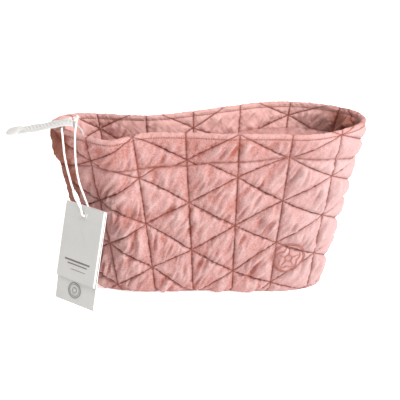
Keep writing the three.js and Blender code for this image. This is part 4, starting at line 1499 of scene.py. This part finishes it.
def add_tail_teeth():
    """The joined teeth along the tail: blocks from the two sides, turn about."""
    count = int((TAIL_LENGTH - 5) / TAIL_TEETH_PITCH)
    fractions = (1.0 + TAIL_TEETH_PITCH * np.arange(count)) / TAIL_LENGTH
    centres, across, up, run = tail_frames(fractions)
    sizes = gathered(fractions, 0.45)
    tubes = Tubes()
    for k in range(count):
        side = 1 if k % 2 else -1
        rings = tooth_rings(centres[k], -side * across[k], run[k], up[k])
        tubes.add(centres[k] + (rings - centres[k]) * sizes[k])
    piece = tubes.finish("tail_teeth", zip_teeth, body=None, slot="zip_teeth", flat_angle=50)
    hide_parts("tail_bridge_teeth", "tail_end_teeth")
    return piece


def add_tail_end():
    """The end of the tapes wrapped in a folded piece of tape with a rounded end."""
    centre, across, up, run = (values[0] for values in tail_frames(np.array([1.0])))
    rings = moulded_rings((centre, run, across, up), TAIL_END_PROFILE, ring_angles(28), (0.55, 0.7))
    piece = Tubes(rings).finish("tail_end_cloth", zip_tape, body="tail", slot="zip_tape")
    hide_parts("tail_end_tab")


def bend_at_hinge(piece):
    """Bakes the piece's placement into its mesh; the piece is not split at the tail's hinge."""
    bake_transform(piece)


for piece in (add_tail_tape(), add_tail_teeth()):
    bend_at_hinge(piece)
add_tail_end()


# ---- Hang tag -----------------------------------------------------------------------------------

LEAF_THICKNESS = 0.28
SPINE_RADIUS = 0.95
BACK_LEAF_Y = -0.35
LONG_CARD_LAYERS = (0.25, 0.95)


def turn_about(axis, angle):
    """A rotation about the card's across (0), through (1) or up (2) axis."""
    a, b = ((1, 2), (2, 0), (0, 1))[axis]
    matrix = np.eye(3)
    matrix[a, a] = matrix[b, b] = math.cos(angle)
    matrix[a, b], matrix[b, a] = -math.sin(angle), math.sin(angle)
    return matrix


CARD_AXES = (turn_about(2, CARD_TURN) @ turn_about(0, CARD_TILT) @ turn_about(1, CARD_ROLL)).T


def card_place(points):
    """Points of the card's own frame (across, through, up) in the bag's frame."""
    return CARD_HOLE + np.asarray(points, float) @ CARD_AXES


def cut_hole(piece):
    """Punches the cord's hole through a card."""
    circle = ellipse(32, CARD_HOLE_RADIUS, CARD_HOLE_RADIUS)
    rings = np.array([np.stack([circle[:, 0], np.full(32, y), circle[:, 1]], axis=1) for y in (-6.0, 6.0)])
    cutter = add_piece("cutter", card_place(rings.reshape(-1, 3)), close_tube(rings), tag_core, body=None)
    cut = piece.modifiers.new("hole", "BOOLEAN")
    cut.operation = "DIFFERENCE"
    cut.object = cutter
    cut.solver = "EXACT"
    bpy.context.view_layer.update()
    graph = bpy.context.evaluated_depsgraph_get()
    finished = bpy.data.meshes.new_from_object(piece.evaluated_get(graph))
    piece.modifiers.clear()
    piece.data = finished
    bpy.data.objects.remove(cutter)


def whiten_edges(piece, beyond):
    """The cut edges show the card's white core; the white on the folded spine is painted light, where the
    spine faces the lamp.
    """
    mesh = piece.data
    if len(mesh.materials) < 2:
        mesh.materials.append(tag_core)
    for face in mesh.polygons:
        centre = (np.array(face.center) / MM - CARD_HOLE) @ CARD_AXES.T
        facing = abs(np.array(face.normal) @ CARD_AXES[1])
        if centre[0] > beyond or facing < 0.5:
            face.material_index = 1


def add_card(name, points, faces, body, node, white_beyond):
    """A card with its hole and white-core edges; right of white_beyond the white stock also goes on as
    painted light.
    """
    piece = add_piece(name, card_place(points), faces, tag_paper, body=None, flat_angle=40)
    cut_hole(piece)
    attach(piece, body)
    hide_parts(node)
    whiten_edges(piece, white_beyond)


def front_leaf_y(x):
    """How far through the card's frame the folded card's front leaf is."""
    return BACK_LEAF_Y - 2 * SPINE_RADIUS + 0.9 * ((CARD_WIDTH / 2 - x) / CARD_WIDTH) ** 1.2


def long_card_y(_):
    """The long card's front side is flat across."""
    return LONG_CARD_LAYERS[0]


def folded_outlines():
    """The folded card's outer and inner sides seen from above, from the back leaf round to the front one."""
    spine_x = CARD_WIDTH / 2 - SPINE_RADIUS
    steps = np.linspace(-CARD_WIDTH / 2, spine_x, 24)
    outer = [(x, BACK_LEAF_Y) for x in steps]
    inner = [(x, BACK_LEAF_Y - LEAF_THICKNESS) for x in steps]
    for angle in np.linspace(math.pi / 2, -math.pi / 2, 9)[1:-1]:
        for side, radius in ((outer, SPINE_RADIUS), (inner, SPINE_RADIUS - LEAF_THICKNESS)):
            turned = BACK_LEAF_Y - SPINE_RADIUS + radius * math.sin(angle)
            side.append((spine_x + radius * math.cos(angle), turned))
    outer += [(x, front_leaf_y(x)) for x in steps[::-1]]
    inner += [(x, front_leaf_y(x) + LEAF_THICKNESS) for x in steps[::-1]]
    return outer, inner


def add_front_card():
    """A folded card: two thin leaves joined by a rounded spine on the right."""
    outer, inner = folded_outlines()
    ring = np.array(outer + inner[::-1])
    count = len(ring)
    heights = np.linspace(CARD_HOLE_DROP, CARD_HOLE_DROP - CARD_FRONT_LENGTH, 36)
    rings = np.array([np.stack([ring[:, 0], ring[:, 1], np.full(count, z)], axis=1) for z in heights])
    faces = [list(f) for f in grid_faces(len(heights), count, wrap=True)]
    last = (len(heights) - 1) * count
    for k in range(len(outer) - 1):
        quad = [k, k + 1, count - 2 - k, count - 1 - k]
        faces.append(quad)
        faces.append([v + last for v in quad[::-1]])
    # Right of this, the folded spine gets the white stock as painted light.
    white_beyond = CARD_WIDTH / 2 - SPINE_RADIUS - 0.2
    add_card("tag_card_folded", rings.reshape(-1, 3), faces, "card_front", "tag_card_front", white_beyond)


def add_back_card():
    """A single card, longer than the folded one and curling at its foot."""
    half = CARD_WIDTH / 2
    columns, rows = 24, 48
    x = np.linspace(-half, half, columns)
    z = np.linspace(CARD_HOLE_DROP, CARD_HOLE_DROP - CARD_BACK_LENGTH, rows)
    curl = 0.9 * ((CARD_HOLE_DROP - z) / CARD_BACK_LENGTH) ** 3
    points = [(px, through + c, pz) for through in LONG_CARD_LAYERS for pz, c in zip(z, curl) for px in x]
    count = rows * columns
    front = grid_faces(rows, columns)
    faces = [list(f) for f in front] + [list(f[::-1] + count) for f in front]
    places = np.arange(count).reshape(rows, columns)
    border = [*places[0], *places[1:, -1], *places[-1, -2::-1], *places[-2:0:-1, 0]]
    for a, b in zip(border, border[1:] + border[:1]):
        faces.append([b, a, a + count, b + count])
    add_card("tag_card_long", points, faces, "card_back", "tag_card_back", half - 0.1)


# Rules are (left, right, height, thickness) and rings (across, height, radius, thickness).
PRINTED_RULES = ((-14.5, 13.5, -41.0, 1.5), (-11, 11, -44.0, 1.0), (-6.5, 9.5, -48.6, 0.45))
FAINT_RINGS = ((0, -20, 5.2, 0.35), (0, -20, 3.4, 0.3))
FOLD_SCORE = (0.3 - CARD_WIDTH / 2, CARD_WIDTH / 2 - 1.4, -3.6, 0.35)
LONG_CARD_RINGS = ((-1, -67, 6.6, 0.5), (-1, -67, 5.2, 0.3), (-1, -67, 2.4, 0.4))
PRINT_LIFT = 0.09
PRINT_SINK = 0.02


def flat_strip(first, second, through):
    """A thin closed band between two outlines of (x, z) on the card."""
    rings = []
    for (x0, z0), (x1, z1) in zip(first, second):
        y0, y1 = through(x0), through(x1)
        over = [(x0, y0 - PRINT_LIFT, z0), (x1, y1 - PRINT_LIFT, z1)]
        rings.append([*over, (x1, y1 + PRINT_SINK, z1), (x0, y0 + PRINT_SINK, z0)])
    return np.array(rings)


def printed_rule(through, left, right, z, thickness):
    xs = np.linspace(left, right, 16)
    return flat_strip(*([(x, z + side * thickness / 2) for x in xs] for side in (-1, 1)), through)


def printed_ring(through, x, z, radius, thickness):
    turn = np.linspace(0, 2 * math.pi, 48)
    radii = (radius - thickness / 2, radius + thickness / 2)
    return flat_strip(*([(x + r * math.cos(a), z + r * math.sin(a)) for a in turn] for r in radii), through)


def add_print(name, strips, material, body):
    tubes = Tubes(*(card_place(rings) for rings in strips))
    tubes.finish(name, material, body=body, slot="tag_paper", flat_angle=30)


def add_prints():
    """Plain rules and rings where the real tag has its printing."""
    rules = [printed_rule(front_leaf_y, *place) for place in PRINTED_RULES]
    add_print("tag_rules", rules, tag_ink, "card_front")
    faint = [printed_ring(front_leaf_y, *place) for place in FAINT_RINGS]
    add_print("tag_faint_ring", [*faint, printed_rule(front_leaf_y, *FOLD_SCORE)], tag_score, "card_front")
    long_rings = [printed_ring(long_card_y, *place) for place in LONG_CARD_RINGS]
    add_print("tag_long_ring", long_rings, tag_ink, "card_back")


add_front_card()
add_back_card()
add_prints()


# ---- Carried-over CAD parts ---------------------------------------------------------------------

def finish_node(name, material, bevel=0.0):
    """Gives a CAD part its material and, in millimetres, softened edges."""
    node = nodes[name]
    node.data.materials.clear()
    node.data.materials.append(material)
    if bevel:
        edge = node.modifiers.new("edges", "BEVEL")
        edge.width = bevel * MM
        edge.segments = 2
        edge.limit_method = "ANGLE"
        edge.angle_limit = math.radians(35)


for half in HALVES:
    finish_node(f"wadding_{half}", wadding)
    finish_node(f"zip_tape_{half}", zip_tape)
    finish_node(f"zip_top_stop_{half}", zip_metal, 0.25)
finish_node("zip_slider", zip_metal, 0.18)
finish_node("zip_pull", zip_metal, 0.2)
finish_node("tail_stop", zip_teeth, 0.2)


# ---- Camera, lights and floor -------------------------------------------------------------------

CAMERA_PLACE = (-0.007, -0.8037, 0.3677)
CAMERA_TARGET = (-0.007, -0.005, 0.077)
CAMERA_LENS = 85.9
SENSOR_WIDTH = 36
FLOOR_REACH = 6.0
WORLD_COLOUR = (1, 0.935, 0.91)
WORLD_STRENGTH = 0.6


def add_aimed(name, data, place, target):
    """A camera or light at a place, looking at a target."""
    thing = bpy.data.objects.new(name, data)
    thing.location = place
    thing.rotation_euler = (Vector(target) - Vector(place)).to_track_quat("-Z", "Y").to_euler()
    bpy.context.scene.collection.objects.link(thing)
    return thing


def add_camera():
    data = bpy.data.cameras.new("camera")
    data.lens = CAMERA_LENS
    data.sensor_width = SENSOR_WIDTH
    bpy.context.scene.camera = add_aimed("camera", data, CAMERA_PLACE, CAMERA_TARGET)


def add_area(name, place, target, size, power):
    data = bpy.data.lights.new(name, "AREA")
    data.shape = "DISK"
    data.size = size
    data.energy = power
    add_aimed(name, data, place, target)


def add_floor():
    mesh = bpy.data.meshes.new("floor")
    corners = [(x * FLOOR_REACH, y * FLOOR_REACH, 0) for x, y in ((-1, -1), (1, -1), (1, 1), (-1, 1))]
    mesh.from_pydata(corners, [], [(0, 1, 2, 3)])
    floor = bpy.data.objects.new("floor", mesh)
    bpy.context.scene.collection.objects.link(floor)
    mesh.materials.append(floor_white)


def add_world():
    world = bpy.data.worlds.new("studio")
    world.use_nodes = True
    background = world.node_tree.nodes["Background"]
    background.inputs["Color"].default_value = (*WORLD_COLOUR, 1)
    background.inputs["Strength"].default_value = WORLD_STRENGTH
    bpy.context.scene.world = world


add_camera()
add_world()
add_floor()
add_area("key", (0.95, -0.66, 0.95), (0, 0, 0.08), 0.20, 22)
add_area("top", (-0.30, -0.42, 1.15), (-0.03, 0.02, 0.12), 0.45, 3.8)
bpy.context.scene.view_settings.view_transform = "Standard"
